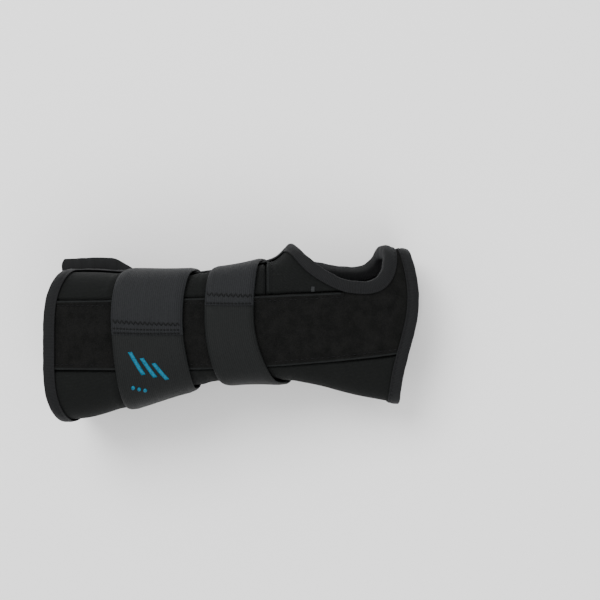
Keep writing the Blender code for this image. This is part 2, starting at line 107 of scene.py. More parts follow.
# Heights of the layers.
SHELL_BACK = -2.6
COVER_BACK = -1.0
LINER_FACE = -3.6
LINER_BACK = -5.2
POCKET_DROP = 1.4
SEAM_GAP = 0.4

# Seams and free edges.
POCKET_START = -112.0
THENAR_START = 25.2
THENAR_END = 72.0
BACK_SEAM = 0.70
LINER_SEAM = 0.60
FACING_SHARE = 0.35
SEAM_POINTS = 60
HOLE_POINTS = 24
PALM_EDGE = 0.012
BACK_EDGE = -0.040
HOLE_START = 41.5
HOLE_PEAK = 75.6
HOLE_END = 99.4
HOLE_PALM_TURN = 0.157
HOLE_BACK_TURN = -0.105
HOLE_NEAR_POWER = 1.7
HOLE_FAR_POWER = 3.4
HOLE_BEFORE = 1.5
HOLE_AFTER = 2.0
WEB_SEAM = 0.002
FLAP_FLARE = 9.0
FLAP_FULL_TO = -84.0
FLAP_GONE_AT = -55.0
FLAP_TURN = -0.11
FLAP_TURN_SPAN = 0.07
CORNER_FLARE = 6.0
CORNER_PLACE = 41.0
CORNER_LENGTH = 7.0
CORNER_TURN = 0.10

# The folded tape on the edges.
TAPE_WIDTH = 6.5
TAPE_OUTER = 1.35
TAPE_INNER = -6.7
TAPE_RIM = -1.45
TAPE_EDGE = 0.45
TAPE_STITCH_IN = 5.2
TAPE_STEP = 0.85
TAPE_OVERLAP = 0.35
TAPE_END_ROUND = 1.2
TAPE_BEYOND = 0.9
TAPE_GATHER = 0.10

# Relief of the panels.
GRID_STEP = 1.15
ROLL = 1.5
RELIEF_FADE = 6.0
HEM_FROM = 0.6
HEM_TO = 3.0
HEM_RISE = 0.75
TOPSTITCH_IN = 3.6
WELT_IN = 1.3
WELT_STEP = 0.9
WELT_RADIUS = 0.38
WEB_WELT_RADIUS = 0.9
WELT_HEIGHT = 0.95
WELT_END_ROUND = 1.8
WELT_WIDENING = 1.5
UPPER_WELT_END = 70.0
TACK_PLACE = 53.0
PRESS_DEPTH = 0.25
PRESS_FADE = 4.0
PRESS_BULGE = 0.6
PRESS_BULGE_WIDTH = 2.6

# Waves: height, millimetres a radian and phase; the drape's have millimetres a radian round it last.
DRAPE_WAVES = ((1.0, 9.0, 23.0), (1.0, 21.0, -11.0), (0.6, 5.3, 37.0))
TAPE_LUMPS = ((1.0, 1.9, 0.0), (1.0, 3.1, 1.0), (0.7, 7.7, 2.0))
TAPE_RIM_WAVES = ((1.0, 1.35, 0.5), (0.8, 2.3, 0.0), (0.5, 5.1, 0.0))
WELT_WAVES = ((0.10, 1.7, 0.0), (0.08, 4.3, 0.0))
STRAP_WAVES = ((0.10, 6.3, 1.0), (0.08, 2.9, 0.0))

# The straps.
STRAP_BACK = 2.3
STRAP_TOP = 4.2
STRAP_STEP = 1.5
BACK_HINGE = 0.875
PALM_HINGE = 1.085
SIDE_START = 0.80
SIDE_END = 0.975
HINGE_SPREAD = 0.030
TAB_STEP = 0.75
TAB_STEP_RUN = 16.0
STRAP_END_ROUND = 1.2
STRAP_EDGE_DROOP = 0.8
STRAP_DROOP_FROM = 0.78
TAB_PRESS = 0.28
TAB_PRESS_FROM = 0.8
TAB_PRESS_TO = 7.4
THREAD_LIFT = 0.08
SEWN_UNDERLAP = 0.7
ROW_REACH = 0.93
ZIGZAG_WIDTH = 2.2
ZIGZAG_STEP = 1.4
SEWN_ROWS = (1.2, 7.0)
HOOK_REACH = 0.4
HOOK_WIDTH_SHARE = 0.8
HOOK_LOW = 1.25
HOOK_HIGH = 2.25
HOOK_SHORT_OF_END = 0.012
HOOK_PITCH = 1.5
HOOK_HALF = 0.22
HOOK_DROP = 0.75
HOOK_LEAN = 0.35

# The printed mark: millimetres down the strap, or shares of half its width across it.
MARK_BARS = ((-0.56, 8.5, 13.0), (-0.26, 12.5, 12.0), (0.04, 16.5, 11.0))
MARK_LEAN = 0.28
MARK_BAR_WIDTH = 0.11
MARK_DOTS = ((-0.58, 27.0), (-0.43, 28.6), (-0.28, 30.2))
MARK_DOT_HALF = 0.05
MARK_DOT_RADIUS = 1.1
MARK_RISE = 0.22

# The stay.
STAY_Y = -7.0
STAY_WIDTH = 28.0
STAY_BACK = -4.6
STAY_TOP = -3.0
STAY_FROM = -84.7
STAY_TO = 72.7
MOUTH_MARGIN = 0.8
MOUTH_RISE = 0.3
MOUTH_REACH = 5.0

# Thread.
STITCH = 2.4
STITCH_PITCH = 3.1
THREAD = 0.26
THREAD_WAIST = 0.75
STITCH_ARCH = 0.40
STITCH_DIP = 0.22
WAVE_REPEAT = 0.314

# Stitches on the straps: length, pitch and thickness.
ROW_STITCH = (1.5, 2.0, 0.36)
ZIGZAG_STITCH = (2.2, 2.3, 0.34)

FLOOR_Z = -0.0002

# The camera, in the splint's own bent frame: over the palm, looking straight down on it.
CAMERA_PLACE = 45.3
CAMERA_Y = 12.4
CAMERA_HEIGHT = 620.0
CAMERA_LENS = 62.9
LIGHT_AIM = (0.0, 0.0, 0.04)


def smooth_step(value):
    held = np.clip(value, 0.0, 1.0)
    return held * held * (3 - 2 * held)


def station(s):
    """Little-finger edge, thumb edge and depth of the skin at a place, on smooth curves."""
    places = STATIONS[:, 0]
    slopes = np.gradient(STATIONS[:, 1:], places, axis=0)
    k = int(np.clip(np.searchsorted(places, s) - 1, 0, len(places) - 2))
    span = places[k + 1] - places[k]
    t = (s - places[k]) / span
    here, there = STATIONS[k, 1:], STATIONS[k + 1, 1:]
    return (
        (2 * t**3 - 3 * t**2 + 1) * here
        + (t**3 - 2 * t**2 + t) * span * slopes[k]
        + (3 * t**2 - 2 * t**3) * there
        + (t**3 - t**2) * span * slopes[k + 1]
    )


def run_along(steps):
    """The distance from the start at each point, from the steps between the points."""
    return np.concatenate(([0.0], np.cumsum(steps)))


def half_section(turns, half_width, half_depth, power):
    """Across, up, normal and girth of half a section, for turns counted from its thumb side."""
    angle = np.linspace(0.0, math.pi / 2, QUARTER_POINTS)
    across = half_width * np.cos(angle).clip(0) ** (2 / power)
    up = half_depth * np.sin(angle) ** (2 / power)
    length = run_along(np.hypot(np.diff(across), np.diff(up)))
    reach = 4 * (0.25 - np.abs(turns - 0.25)) * length[-1]
    y, z = np.interp(reach, length, across), np.interp(reach, length, up)
    normal_y = (y / half_width) ** (power - 1) / half_width
    normal_z = (z / half_depth) ** (power - 1) / half_depth
    size = np.hypot(normal_y, normal_z)
    return y, z, normal_y / size, normal_z / size, np.full(len(turns), 4 * length[-1])


def skin_table():
    """The skin at every place and turn: y, z, normal y, normal z, and mm in a full turn."""
    table = np.zeros((len(PLACES), len(TURNS), 5))
    on_palm = TURNS < 0.5
    side = np.where((TURNS < 0.25) | (TURNS >= 0.75), 1.0, -1.0)
    face = np.where(on_palm, 1.0, -1.0)
    for row, s in enumerate(PLACES):
        ulnar, radial, depth = station(s)
        half_width, half_depth = (radial - ulnar) / 2, depth / 2
        palm = half_section(TURNS % 0.5, half_width, half_depth, PALM_POWER)
        back = half_section(TURNS % 0.5, half_width, half_depth, BACK_POWER)
        y, z, normal_y, normal_z, girth = np.where(on_palm, palm, back)
        table[row] = np.stack(((ulnar + radial) / 2 + side * y, face * z - half_depth,
                               side * normal_y, face * normal_z, girth), axis=1)
    return table


SKIN = skin_table()


def section(s, turn):
    """The skin's y, z, normal y, normal z and girth at places and turns, off the table."""
    s, turn = np.broadcast_arrays(np.asarray(s, float), np.asarray(turn, float))
    i = np.clip(s - PLACES[0], 0, len(PLACES) - 1.001)
    j = (turn % 1.0) * (len(TURNS) - 1)
    i0, j0 = i.astype(int), np.minimum(j.astype(int), len(TURNS) - 2)
    across, along = (i - i0)[..., None], (j - j0)[..., None]
    low = SKIN[i0, j0] * (1 - along) + SKIN[i0, j0 + 1] * along
    high = SKIN[i0 + 1, j0] * (1 - along) + SKIN[i0 + 1, j0 + 1] * along
    return np.moveaxis(low * (1 - across) + high * across, -1, 0)


def girth_at(s, turn):
    return section(s, turn)[4]


def flare(s, turn):
    """How far the free edges on the thumb side stand out past the skin."""
    signed = (turn + 0.5) % 1.0 - 0.5
    flap = FLAP_FLARE * (1 - smooth_step((s - FLAP_FULL_TO) / (FLAP_GONE_AT - FLAP_FULL_TO)))
    on_flap = signed < (PALM_EDGE + BACK_EDGE) / 2
    flap = np.where(on_flap, flap * smooth_step((signed - FLAP_TURN) / FLAP_TURN_SPAN), 0.0)
    corner = CORNER_FLARE * np.exp(-(((s - CORNER_PLACE) / CORNER_LENGTH) ** 2))
    return flap + corner * np.exp(-((signed / CORNER_TURN) ** 2))


def bent(s, y, z):
    angle = s / BEND_RADIUS
    reach = BEND_RADIUS + z
    return np.stack(np.broadcast_arrays(reach * np.sin(angle), y,
                                        reach * np.cos(angle) - BEND_RADIUS), axis=-1)


def layer(s, turn, height):
    """Points of the straight splint at a height off the skin, flat where the stay lies."""
    y, z, normal_y, normal_z, _ = section(s, turn)
    flat = height - POCKET_DROP * np.clip(height / COVER_BACK, 0.0, 1.0)
    return s, y + height * normal_y + flare(s, turn), np.minimum(z + height * normal_z, flat)


def forearm_edge(turn):
    """The forearm end's place: square to the forearm, bowing out over the palm side."""
    ulnar, radial, _ = station(FOREARM_END_X)
    y, z = section(FOREARM_END_X, turn)[:2]
    off_middle = (2 * y - ulnar - radial) / (radial - ulnar)
    fade = 1 - smooth_step((np.asarray(turn) % 1.0 - 0.5) / (BACK_SEAM - 0.5))
    bow = FOREARM_END_BOW * off_middle**4 * fade
    return BEND_RADIUS * np.arcsin((FOREARM_END_X + bow) / (BEND_RADIUS + z))


def hand_edge(turn):
    """The hand end's place: longest near the index finger."""
    y, z = section(HAND_END_X, turn)[:2]
    wave = np.cos(math.pi * (y - HAND_END_PEAK_Y) / HAND_END_HALF_WAVE)
    return BEND_RADIUS * np.arcsin((HAND_END_X + HAND_END_SWING * wave) / (BEND_RADIUS + z))


def level_angle():
    """The turn about Y that sets both ends of the back on one level."""
    ends = [bent(*layer(edge(0.75), 0.75, 0.0)) for edge in (forearm_edge, hand_edge)]
    run = ends[1] - ends[0]
    return math.atan2(run[2], run[0])


LEVEL = level_angle()


def levelled(points):
    """Bent points in millimetres, levelled, in metres."""
    x, y, z = np.moveaxis(points, -1, 0)
    cos, sin = math.cos(LEVEL), math.sin(LEVEL)
    return np.stack((x * cos + z * sin, y, z * cos - x * sin), axis=-1) * MM


def frame_shift():
    """From the skin's own origin to the row's, worked out from where the stay lies."""
    corners = [levelled(bent(s, STAY_Y - STAY_WIDTH / 2, z))
               for s in (STAY_FROM, STAY_TO) for z in (STAY_BACK, STAY_TOP)]
    return np.array(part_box("palmar_stay")[0]) - np.min(corners, axis=0)


SHIFT = frame_shift()


def at(s, turn, height):
    """Points in the row frame, in metres."""
    return levelled(bent(*layer(s, turn, height))) + SHIFT


def turn_at(s, y):
    """The turn on the palm side where the skin is at this y."""
    turns = TURNS[TURNS < 0.5]
    return float(np.interp(-y, -section(s, turns)[0], turns))


def pocket_seam(start_y, rise, over, power):
    """A seam of the pocket, as a function from a place along the splint to its point there."""
    def seam(s):
        run = max(0.0, (s - POCKET_START) / over)
        return s, turn_at(s, start_y + rise * run**power)

    return seam


pocket_top = pocket_seam(start_y=12.4, rise=4.9, over=177.0, power=1.8)
pocket_foot = pocket_seam(start_y=-30.0, rise=9.7, over=220.0, power=3)


def hole_quarter(start, end, power, count):
    """A quarter of a superellipse from one point of the skin to another."""
    angle = np.linspace(0.0, 1.0, count) ** (power / 2) * math.pi / 2
    along, over = np.cos(angle).clip(0) ** (2 / power), np.sin(angle) ** (2 / power)
    return np.stack((end[0] + (start[0] - end[0]) * along, start[1] + (end[1] - start[1]) * over), 1)


def hole_edge(edge_turn, peak_turn, web, count):
    """One side of the thumb hole, from its forearm corner to the web."""
    peak = (HOLE_PEAK, peak_turn)
    near = hole_quarter((HOLE_START, edge_turn), peak, HOLE_NEAR_POWER, count)
    far = hole_quarter((HOLE_END, web), peak, HOLE_FAR_POWER, count)
    return np.concatenate((near, far[::-1][1:]))


def palm_hole(count):
    return hole_edge(PALM_EDGE, HOLE_PALM_TURN, WEB_SEAM, count)


def back_hole(count):
    return hole_edge(BACK_EDGE, HOLE_BACK_TURN, -WEB_SEAM, count)


def line(start, end, turn, count):
    return np.stack((np.linspace(start, end, count), np.full(count, turn)), axis=1)


def along(seam, start, end, count):
    return np.array([seam(s) for s in np.linspace(start, end, count)])


def shifted(points, gap):
    """The same points of the skin, a gap in millimetres further round it."""
    points = np.array(points, float)
    points[:, 1] += gap / girth_at(points[:, 0], points[:, 1])
    return points


def skin_steps(points, round_share=1.0):
    """How far each point of a line on the skin is along it, in millimetres."""
    steps = np.diff(points, axis=0)
    across = round_share * steps[:, 1] * girth_at(points[1:, 0], points[1:, 1])
    return run_along(np.hypot(steps[:, 0], across))


def resampled(values, run, wanted):
    """Rows of values at wanted distances along a run."""
    return np.stack([np.interp(wanted, run, column) for column in values.T], axis=1)


def facing(seam, points, start, end):
    """Points of another seam, each about level with its own point here."""
    run = skin_steps(points, FACING_SHARE)
    return np.array([seam(start + (end - start) * share) for share in run / run[-1]])


def evenly(points, step):
    """The same line on the skin with a point about every step of millimetres."""
    run = skin_steps(points)
    return resampled(points, run, np.linspace(0.0, run[-1], max(3, round(run[-1] / step) + 1)))


# ---- meshes


def put(name, data):
    """A new object in the scene."""
    made = bpy.data.objects.new(name, data)
    bpy.context.scene.collection.objects.link(made)
    return made


def add_mesh(name, points, faces, surface, uvs=None, sharp=None):
    """A mesh object in the row frame, pressed flat where it rests, with its weave in millimetres."""
    mesh = bpy.data.meshes.new(name)
    resting = np.array(points, float)
    resting[:, 2] = np.maximum(resting[:, 2], 0.0)
    mesh.from_pydata(resting.tolist(), [], faces)
    solid = bmesh.new()
    solid.from_mesh(mesh)
    inside_out = solid.calc_volume(signed=True) < 0
    solid.free()
    if inside_out:
        mesh.flip_normals()
    mesh.shade_smooth()
    if sharp:
        mesh.set_sharp_from_angle(angle=math.radians(sharp))
    if uvs is not None:
        corner = np.zeros(len(mesh.loops), np.int32)
        mesh.loops.foreach_get("vertex_index", corner)
        mesh.uv_layers.new(name="weave").data.foreach_set("uv", np.asarray(uvs)[corner].ravel())
    mesh.materials.append(surface)
    return put(name, mesh)


def quads(columns, rows, first=0, closed=False):
    """Quads of a grid numbered column by column; closed joins each column's ends."""
    i, j = np.meshgrid(np.arange(columns - 1), np.arange(rows if closed else rows - 1), indexing="ij")
    i, j = i.ravel(), j.ravel()
    following = (j + 1) % rows
    here, there = first + i * rows, first + (i + 1) * rows
    return np.stack((here + j, there + j, there + following, here + following), axis=1).tolist()


def tube_faces(count, size, first=0, capped=True):
    """The faces of a tube of rings, with its two ends."""
    faces = quads(count, size, first, closed=True)
    last = first + (count - 1) * size
    if capped:
        faces += [list(range(first, first + size)), list(range(last + size - 1, last - 1, -1))]
    return faces


def tube(name, rings, surface, uvs, capped=True, sharp=None):
    """A solid through closed rings of points."""
    faces = tube_faces(*rings.shape[:2], capped=capped)
    return add_mesh(name, rings.reshape(-1, 3), faces, surface, uvs.reshape(-1, 2), sharp)


def rings_round(centre, side, out, radius, sides):
    """Rings of points round the points of a path."""
    angle = np.linspace(0, 2 * math.pi, sides, endpoint=False)
    return centre[:, None] + radius * (side[:, None] * np.cos(angle)[:, None]
                                       + out[:, None] * np.sin(angle)[:, None])


def unit(vectors):
    return vectors / np.linalg.norm(vectors, axis=-1, keepdims=True)


def weave_of(lengthwise, crosswise):
    """Weave coordinates in metres, from millimetres along a piece and across it."""
    return np.stack(np.broadcast_arrays(lengthwise, crosswise), axis=-1) * MM


def settle(piece, slot, body=None, node=None):
    """Says what a piece rides on and which solid it stands for; slot is not used."""
    if body:
        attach(piece, body)
    if node:
        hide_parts(node)
    return piece


def edge_distances(s, turn):
    """How far each grid point is from the first and last row and column, in millimetres."""
    girth = girth_at(s, turn)
    down = np.hypot(np.diff(s, axis=1), np.diff(turn, axis=1) * girth[:, 1:])
    over = np.hypot(np.diff(s, axis=0), np.diff(turn, axis=0) * girth[1:])
    low = np.concatenate((np.zeros((len(s), 1)), np.cumsum(down, axis=1)), axis=1)
    start = np.concatenate((np.zeros((1, s.shape[1])), np.cumsum(over, axis=0)))
    return low, low[:, -1:] - low, start, start[-1:] - start


def panel_grid(low, high, forearm_end=False, hand_end=False):
    """Places and turns of a fine grid between two seams, out to the splint's own ends."""
    columns = max(3, round(skin_steps(low)[-1] / GRID_STEP))
    widest = np.max(np.abs(high[:, 1] - low[:, 1]) * girth_at(low[:, 0], low[:, 1]))
    rows = max(4, round(widest / GRID_STEP))
    run = skin_steps(low) + skin_steps(high)
    wanted = np.linspace(0.0, run[-1], columns)
    low, high = resampled(low, run, wanted), resampled(high, run, wanted)
    share = np.linspace(0.0, 1.0, rows)[None, :]
    s = low[:, :1] + (high[:, :1] - low[:, :1]) * share
    turn = low[:, 1:] + (high[:, 1:] - low[:, 1:]) * share
    if forearm_end:
        straight = low[0, 0] + (high[0, 0] - low[0, 0]) * share
        s = s + (forearm_edge(turn) - straight) * np.clip(1 - (s - straight) / END_REACH, 0, None)
    if hand_end:
        straight = low[-1, 0] + (high[-1, 0] - low[-1, 0]) * share
        s = s + (hand_edge(turn) - straight) * np.clip(1 - (straight - s) / END_REACH, 0, None)
    return s, turn


def round_off(distance, radius, least=0.0):
    """0 at an edge and 1 well inside, on a quarter circle; least keeps a tip from being a point."""
    return np.sqrt(1 - (1 - np.clip(distance / radius, least, 1.0)) ** 2)


def hem(distance):
    """The soft ridge of a turned-under edge."""
    share = (distance - HEM_FROM) / (HEM_TO - HEM_FROM)
    return HEM_RISE * np.sin(math.pi * np.clip(share, 0.0, 1.0)) ** 1.5


def waves(run, terms):
    return sum(height * np.sin(run / length + phase) for height, length, phase in terms)


def drape(s, turn, phase, depth):
    """Slow waves that keep stretched fabric from lying perfectly true."""
    relief = sum(height * np.sin(s / lengthwise + turn * MEAN_GIRTH / around + k * phase)
                 for k, (height, lengthwise, around) in enumerate(DRAPE_WAVES, 1))
    return depth * relief / sum(wave[0] for wave in DRAPE_WAVES)


def pressed(s, turn):
    """Fabric sinks a little under a tight strap and swells beside it."""
    relief = 0.0
    for strap in STRAPS:
        outside = np.abs(s - strap.place(turn)) - strap.width / 2
        relief = relief - PRESS_DEPTH * smooth_step(-outside / PRESS_FADE)
        relief = relief + PRESS_BULGE * np.exp(-(((outside - PRESS_FADE) / PRESS_BULGE_WIDTH) ** 2))
    return relief


def layer_piece(name, node, cloth, grid, phase, hems=(), depth=0.30):
    """One panel or lining: a closed sheet with rolled edges, soft hems and a slow drape."""
    slot, surface, top, back = cloth
    s, turn = grid
    sides = edge_distances(s, turn)
    edge = np.minimum.reduce(sides)
    roll = (top - back) / 2 * (1 - round_off(edge, ROLL))
    relief = drape(s, turn, phase, depth)
    if top > LINER_FACE:
        relief = relief + pressed(s, turn)
    outer = top - roll + relief * smooth_step(edge / RELIEF_FADE)
    for side in hems:
        outer = outer + hem(sides[side])
    points = np.concatenate([at(s, turn, face).reshape(-1, 3) for face in (outer, back + roll)])
    faces = quads(*s.shape) + [face[::-1] for face in quads(*s.shape, s.size)]
    number = np.arange(s.size).reshape(s.shape)
    rim = np.concatenate((number[:-1, 0], number[-1, :-1], number[:0:-1, -1], number[0, :0:-1]))
    following = np.roll(rim, -1)
    faces += np.stack((following, rim, rim + s.size, following + s.size), axis=1).tolist()
    weave = weave_of(s, turn * girth_at(s, turn)).reshape(-1, 2)
    made = add_mesh(name, points, faces, surface, np.concatenate((weave, weave)))
    settle(made, slot, "shell", node)


# ---- materials


class Nodes:
    """A short way to wire a Principled material."""

    def __init__(self, name):
        self.material = bpy.data.materials.new(name)
        self.material.use_nodes = True
        self.tree = self.material.node_tree
        self.shader = self.tree.nodes["Principled BSDF"]
        self.place = self.add("TexCoord").outputs["Object"]
        weave = self.add("UVMap")
        weave.uv_map = "weave"
        self.uv = weave.outputs["UV"]

    def give(self, socket, value):
        """Links a socket to another node's output, or sets it to a plain value."""
        if isinstance(value, bpy.types.NodeSocket):
            self.tree.links.new(value, socket)
        else:
            socket.default_value = value

    def fill(self, node, values):
        """Gives a node's inputs by name, where a _ in a name stands for a space."""
        for name, value in values.items():
            self.give(node.inputs[name.replace("_", " ")], value)
        return node

    def add(self, kind, **values):
        return self.fill(self.tree.nodes.new("ShaderNode" + kind), values)

    def shade(self, **values):
        self.fill(self.shader, values)

    def noise(self, scale, detail=3.0, roughness=0.6, vector=None):
        """Fine mottling, in object space unless told otherwise, so that it has no seam."""
        return self.add("TexNoise", Vector=vector or self.place, Scale=scale, Detail=detail,
                        Roughness=roughness).outputs["Fac"]

    def stretched(self, vector, scale):
        return self.add("Mapping", Vector=vector, Scale=scale).outputs["Vector"]

    def ribs(self, pitch, across, distortion=0.6):
        """Even ribs along the weave; across is the direction that they repeat in, X or Y."""
        made = self.add("TexWave", Vector=self.uv, Scale=WAVE_REPEAT / pitch, Distortion=distortion,
                        Detail=1.0, Detail_Scale=3.0)
        made.wave_type = "BANDS"
        made.bands_direction = across
        return made.outputs["Fac"]

    def cells(self, size):
        """Small round loops."""
        return self.add("TexVoronoi", Vector=self.place, Scale=1 / size).outputs["Distance"]

    def math(self, operation, first, second):
        made = self.add("Math")
        made.operation = operation
        self.give(made.inputs[0], first)
        self.give(made.inputs[1], second)
        return made.outputs["Value"]

    def mix(self, first, share, second, other_share):
        """A weighted sum."""
        return self.math("ADD", self.math("MULTIPLY", first, share),
                         self.math("MULTIPLY", second, other_share))

    def tones(self, factor, low, high, start=0.3, end=0.7):
        """Colour between two tones."""
        ramp = self.add("ValToRGB", Fac=factor)
        for stop, position, tone in zip(ramp.color_ramp.elements, (start, end), (low, high)):
            stop.position = position
            stop.color = (*tone, 1.0)
        self.shade(Base_Color=ramp.outputs["Color"])

    def rough(self, factor, low, high):
        span = self.add("MapRange", Value=factor, To_Min=low, To_Max=high)
        self.shade(Roughness=span.outputs["Result"])

    def bump(self, height, distance, strength=1.0):
        made = self.add("Bump", Height=height, Distance=distance, Strength=strength)
        self.shade(Normal=made.outputs["Normal"])

    def sheen(self, weight, roughness, tint, specular):
        self.shade(Sheen_Weight=weight, Sheen_Roughness=roughness, Sheen_Tint=(*tint, 1.0),
                   Specular_IOR_Level=specular)


def loop_fabric():
    """Brushed loop face of the pocket: near black, with a fine uneven pile."""
    made = Nodes("loop_fabric")
    pile = made.noise(1400.0, 4.0, 0.7)
    patches = made.noise(160.0, 3.0)
    made.tones(made.mix(pile, 0.6, patches, 0.4), (0.0026, 0.0028, 0.0026),
               (0.0070, 0.0070, 0.0067), 0.38, 0.62)
    made.rough(pile, 0.86, 1.0)
    made.bump(made.math("ADD", pile, made.cells(0.0011)), 0.00028, 0.9)
    made.sheen(0.012, 0.5, (0.75, 0.76, 0.78), 0.06)
    return made.material


def side_fabric(name, low, high):
    """Fine warp-knit face of the side, thumb and back panels, and of the welts, where lighter tones
    paint a highlight.
    """
    made = Nodes(name)
    wales = made.ribs(0.00085, "Y", 0.9)
    courses = made.ribs(0.00070, "X", 1.4)
    knit = made.math("MULTIPLY", wales, courses)
    fuzz = made.noise(900.0, 3.0)
    made.tones(made.mix(knit, 0.45, fuzz, 0.55), low, high, 0.25, 0.72)
    made.rough(fuzz, 0.78, 0.95)
    made.bump(made.math("ADD", knit, made.math("MULTIPLY", fuzz, 0.5)), 0.00022, 0.8)
    made.sheen(0.015, 0.45, (0.75, 0.78, 0.80), 0.08)
    return made.material


def binding_tape():
    """Stretch tape with fine cross ribs and a soft sheen."""
    made = Nodes("binding_tape")
    ribs = made.ribs(0.00090, "X", 0.5)
    picks = made.ribs(0.00055, "Y", 0.8)
    fuzz = made.noise(700.0, 3.0)
    weave = made.mix(ribs, 0.6, picks, 0.3)
    made.tones(made.mix(weave, 0.6, fuzz, 0.4), (0.0036, 0.0038, 0.0041),
               (0.0105, 0.0109, 0.0115), 0.25, 0.75)
    made.rough(fuzz, 0.55, 0.78)
    made.bump(weave, 0.00020, 0.8)
    made.sheen(0.02, 0.4, (0.75, 0.80, 0.88), 0.10)
    return made.material


def strap_elastic(name, low, high):
    """Woven elastic: close ribs along its length, crossed by fine picks."""
    made = Nodes(name)
    ribs = made.ribs(0.00120, "Y", 0.3)
    picks = made.ribs(0.00060, "X", 0.8)
    streaks = made.noise(1.0, 4.0, 0.6, made.stretched(made.uv, (12.0, 420.0, 1.0)))
    fuzz = made.noise(800.0, 3.0)
    weave = made.mix(ribs, 0.6, picks, 0.4)
    made.tones(made.mix(weave, 0.3, made.mix(streaks, 0.5, fuzz, 0.5), 0.7), low, high, 0.3, 0.68)
    made.rough(streaks, 0.50, 0.72)
    made.bump(weave, 0.00022, 0.7)
    made.sheen(0.02, 0.4, (0.78, 0.80, 0.84), 0.10)
    return made.material


def lining():
    """Looped terry lining."""
    made = Nodes("lining")
    loops = made.cells(0.0013)
    fuzz = made.noise(600.0, 4.0)
    made.tones(made.mix(loops, 0.5, fuzz, 0.5), (0.0150, 0.0153, 0.0160), (0.0050, 0.0052, 0.0055))
    made.rough(fuzz, 0.85, 1.0)
    made.bump(made.math("SUBTRACT", fuzz, loops), 0.00055, 1.0)
    made.sheen(0.03, 0.5, (0.8, 0.8, 0.8), 0.08)
    return made.material


def plain(name, tone_grain, low, high, rough_grain, roughness, bump_grain, depth, strength):
    """A finish of fine mottling only; a grain is a noise's scale and detail."""
    made = Nodes(name)
    made.tones(made.noise(*tone_grain), low, high)
    made.rough(made.noise(rough_grain), *roughness)
    made.bump(made.noise(*bump_grain), depth, strength)
    return made


def thread(name, low, high):
    """Polyester thread, with the light and dark of its twist."""
    made = plain(name, (2600.0, 2.0), low, high, 900.0, (0.50, 0.70), (3200.0, 2.0), 0.00008, 0.8)
    made.shade(Specular_IOR_Level=0.12)
    return made.material


def hook_tape():
    """Moulded nylon hooks."""
    return plain("hook_tape", (500.0,), (0.0070, 0.0070, 0.0075), (0.0160, 0.0160, 0.0170),
                 300.0, (0.35, 0.55), (1800.0,), 0.0001, 0.5).material


def stay_metal():
    """Rolled aluminium, with fine drawing lines along its length."""
    made = Nodes("stay_metal")
    lines = made.noise(5.0, 5.0, 0.5, made.stretched(made.place, (6.0, 900.0, 40.0)))
    made.tones(lines, (0.48, 0.49, 0.50), (0.66, 0.67, 0.68))
    made.rough(lines, 0.24, 0.42)
    made.bump(lines, 0.00004, 0.5)
    made.shade(Metallic=1.0)
    return made.material


def stay_tip():
    """Dipped vinyl, with slow unevenness and a few scuffs."""
    return plain("stay_tip", (220.0,), (0.018, 0.018, 0.020), (0.036, 0.036, 0.039),
                 420.0, (0.28, 0.50), (180.0, 2.0), 0.0003, 0.4).material


def print_ink():
    """Slightly worn screen print."""
    made = Nodes("print_ink")
    made.tones(made.noise(900.0, 4.0), (0.001, 0.050, 0.095), (0.002, 0.110, 0.180), 0.32, 0.55)
    made.rough(made.noise(700.0), 0.45, 0.70)
    made.bump(made.noise(1100.0), 0.00008, 0.6)
    made.shade(Specular_IOR_Level=0.15)
    return made.material


# ---- stitching


def stitch_row(name, body, slot, lines, surface, length=STITCH, pitch=STITCH_PITCH, thickness=THREAD):
    """Thread along lines of points: each stitch is a short arched strand that dips at its ends.

    A line is (points in metres, outward directions).
    """
    sides, rings = 6, 5
    share = np.linspace(0.0, 1.0, rings)
    arch = np.sin(math.pi * share)[:, None]
    radius = thickness * MM * (THREAD_WAIST + (1 - THREAD_WAIST) * arch[:, :, None])
    points, faces = [], []
    for path, outward in lines:
        run = run_along(np.linalg.norm(np.diff(path, axis=0), axis=1))
        count = max(1, int(run[-1] / (pitch * MM)))
        for start in np.linspace(0.0, run[-1], count + 1)[:-1]:
            wanted = start + share * length * MM
            if wanted[-1] > run[-1] + 1e-6:
                continue
            centre = resampled(path, run, wanted)
            out = unit(resampled(outward, run, wanted))
            side = np.cross(unit(np.gradient(centre, axis=0)), out)
            centre = centre + out * ((STITCH_ARCH * arch - STITCH_DIP) * MM)
            faces += tube_faces(rings, sides, len(points) * rings * sides)
            points.append(rings_round(centre, side, out, radius, sides).reshape(-1, 3))
    settle(add_mesh(name, np.concatenate(points), faces, surface), slot, body)


def skin_line(points, height, step=1.0):
    """A stitching line on the skin at a height, with its outward directions."""
    fine = evenly(np.asarray(points, float), step)
    low, high = at(fine[:, 0], fine[:, 1], height), at(fine[:, 0], fine[:, 1], height + 1.0)
    return low, high - low


# ---- panels, linings and tapes


def level_line(turn):
    return lambda s: (s, turn)


def free_edge(turn, hole, web):
    """A free edge from end to end: the opening, the thumb hole and the web."""
    straight = line(forearm_edge(turn), HOLE_START - HOLE_BEFORE, turn, SEAM_POINTS)
    return np.concatenate((straight, hole, line(HOLE_END + HOLE_AFTER, hand_edge(0.0), web, 4)))


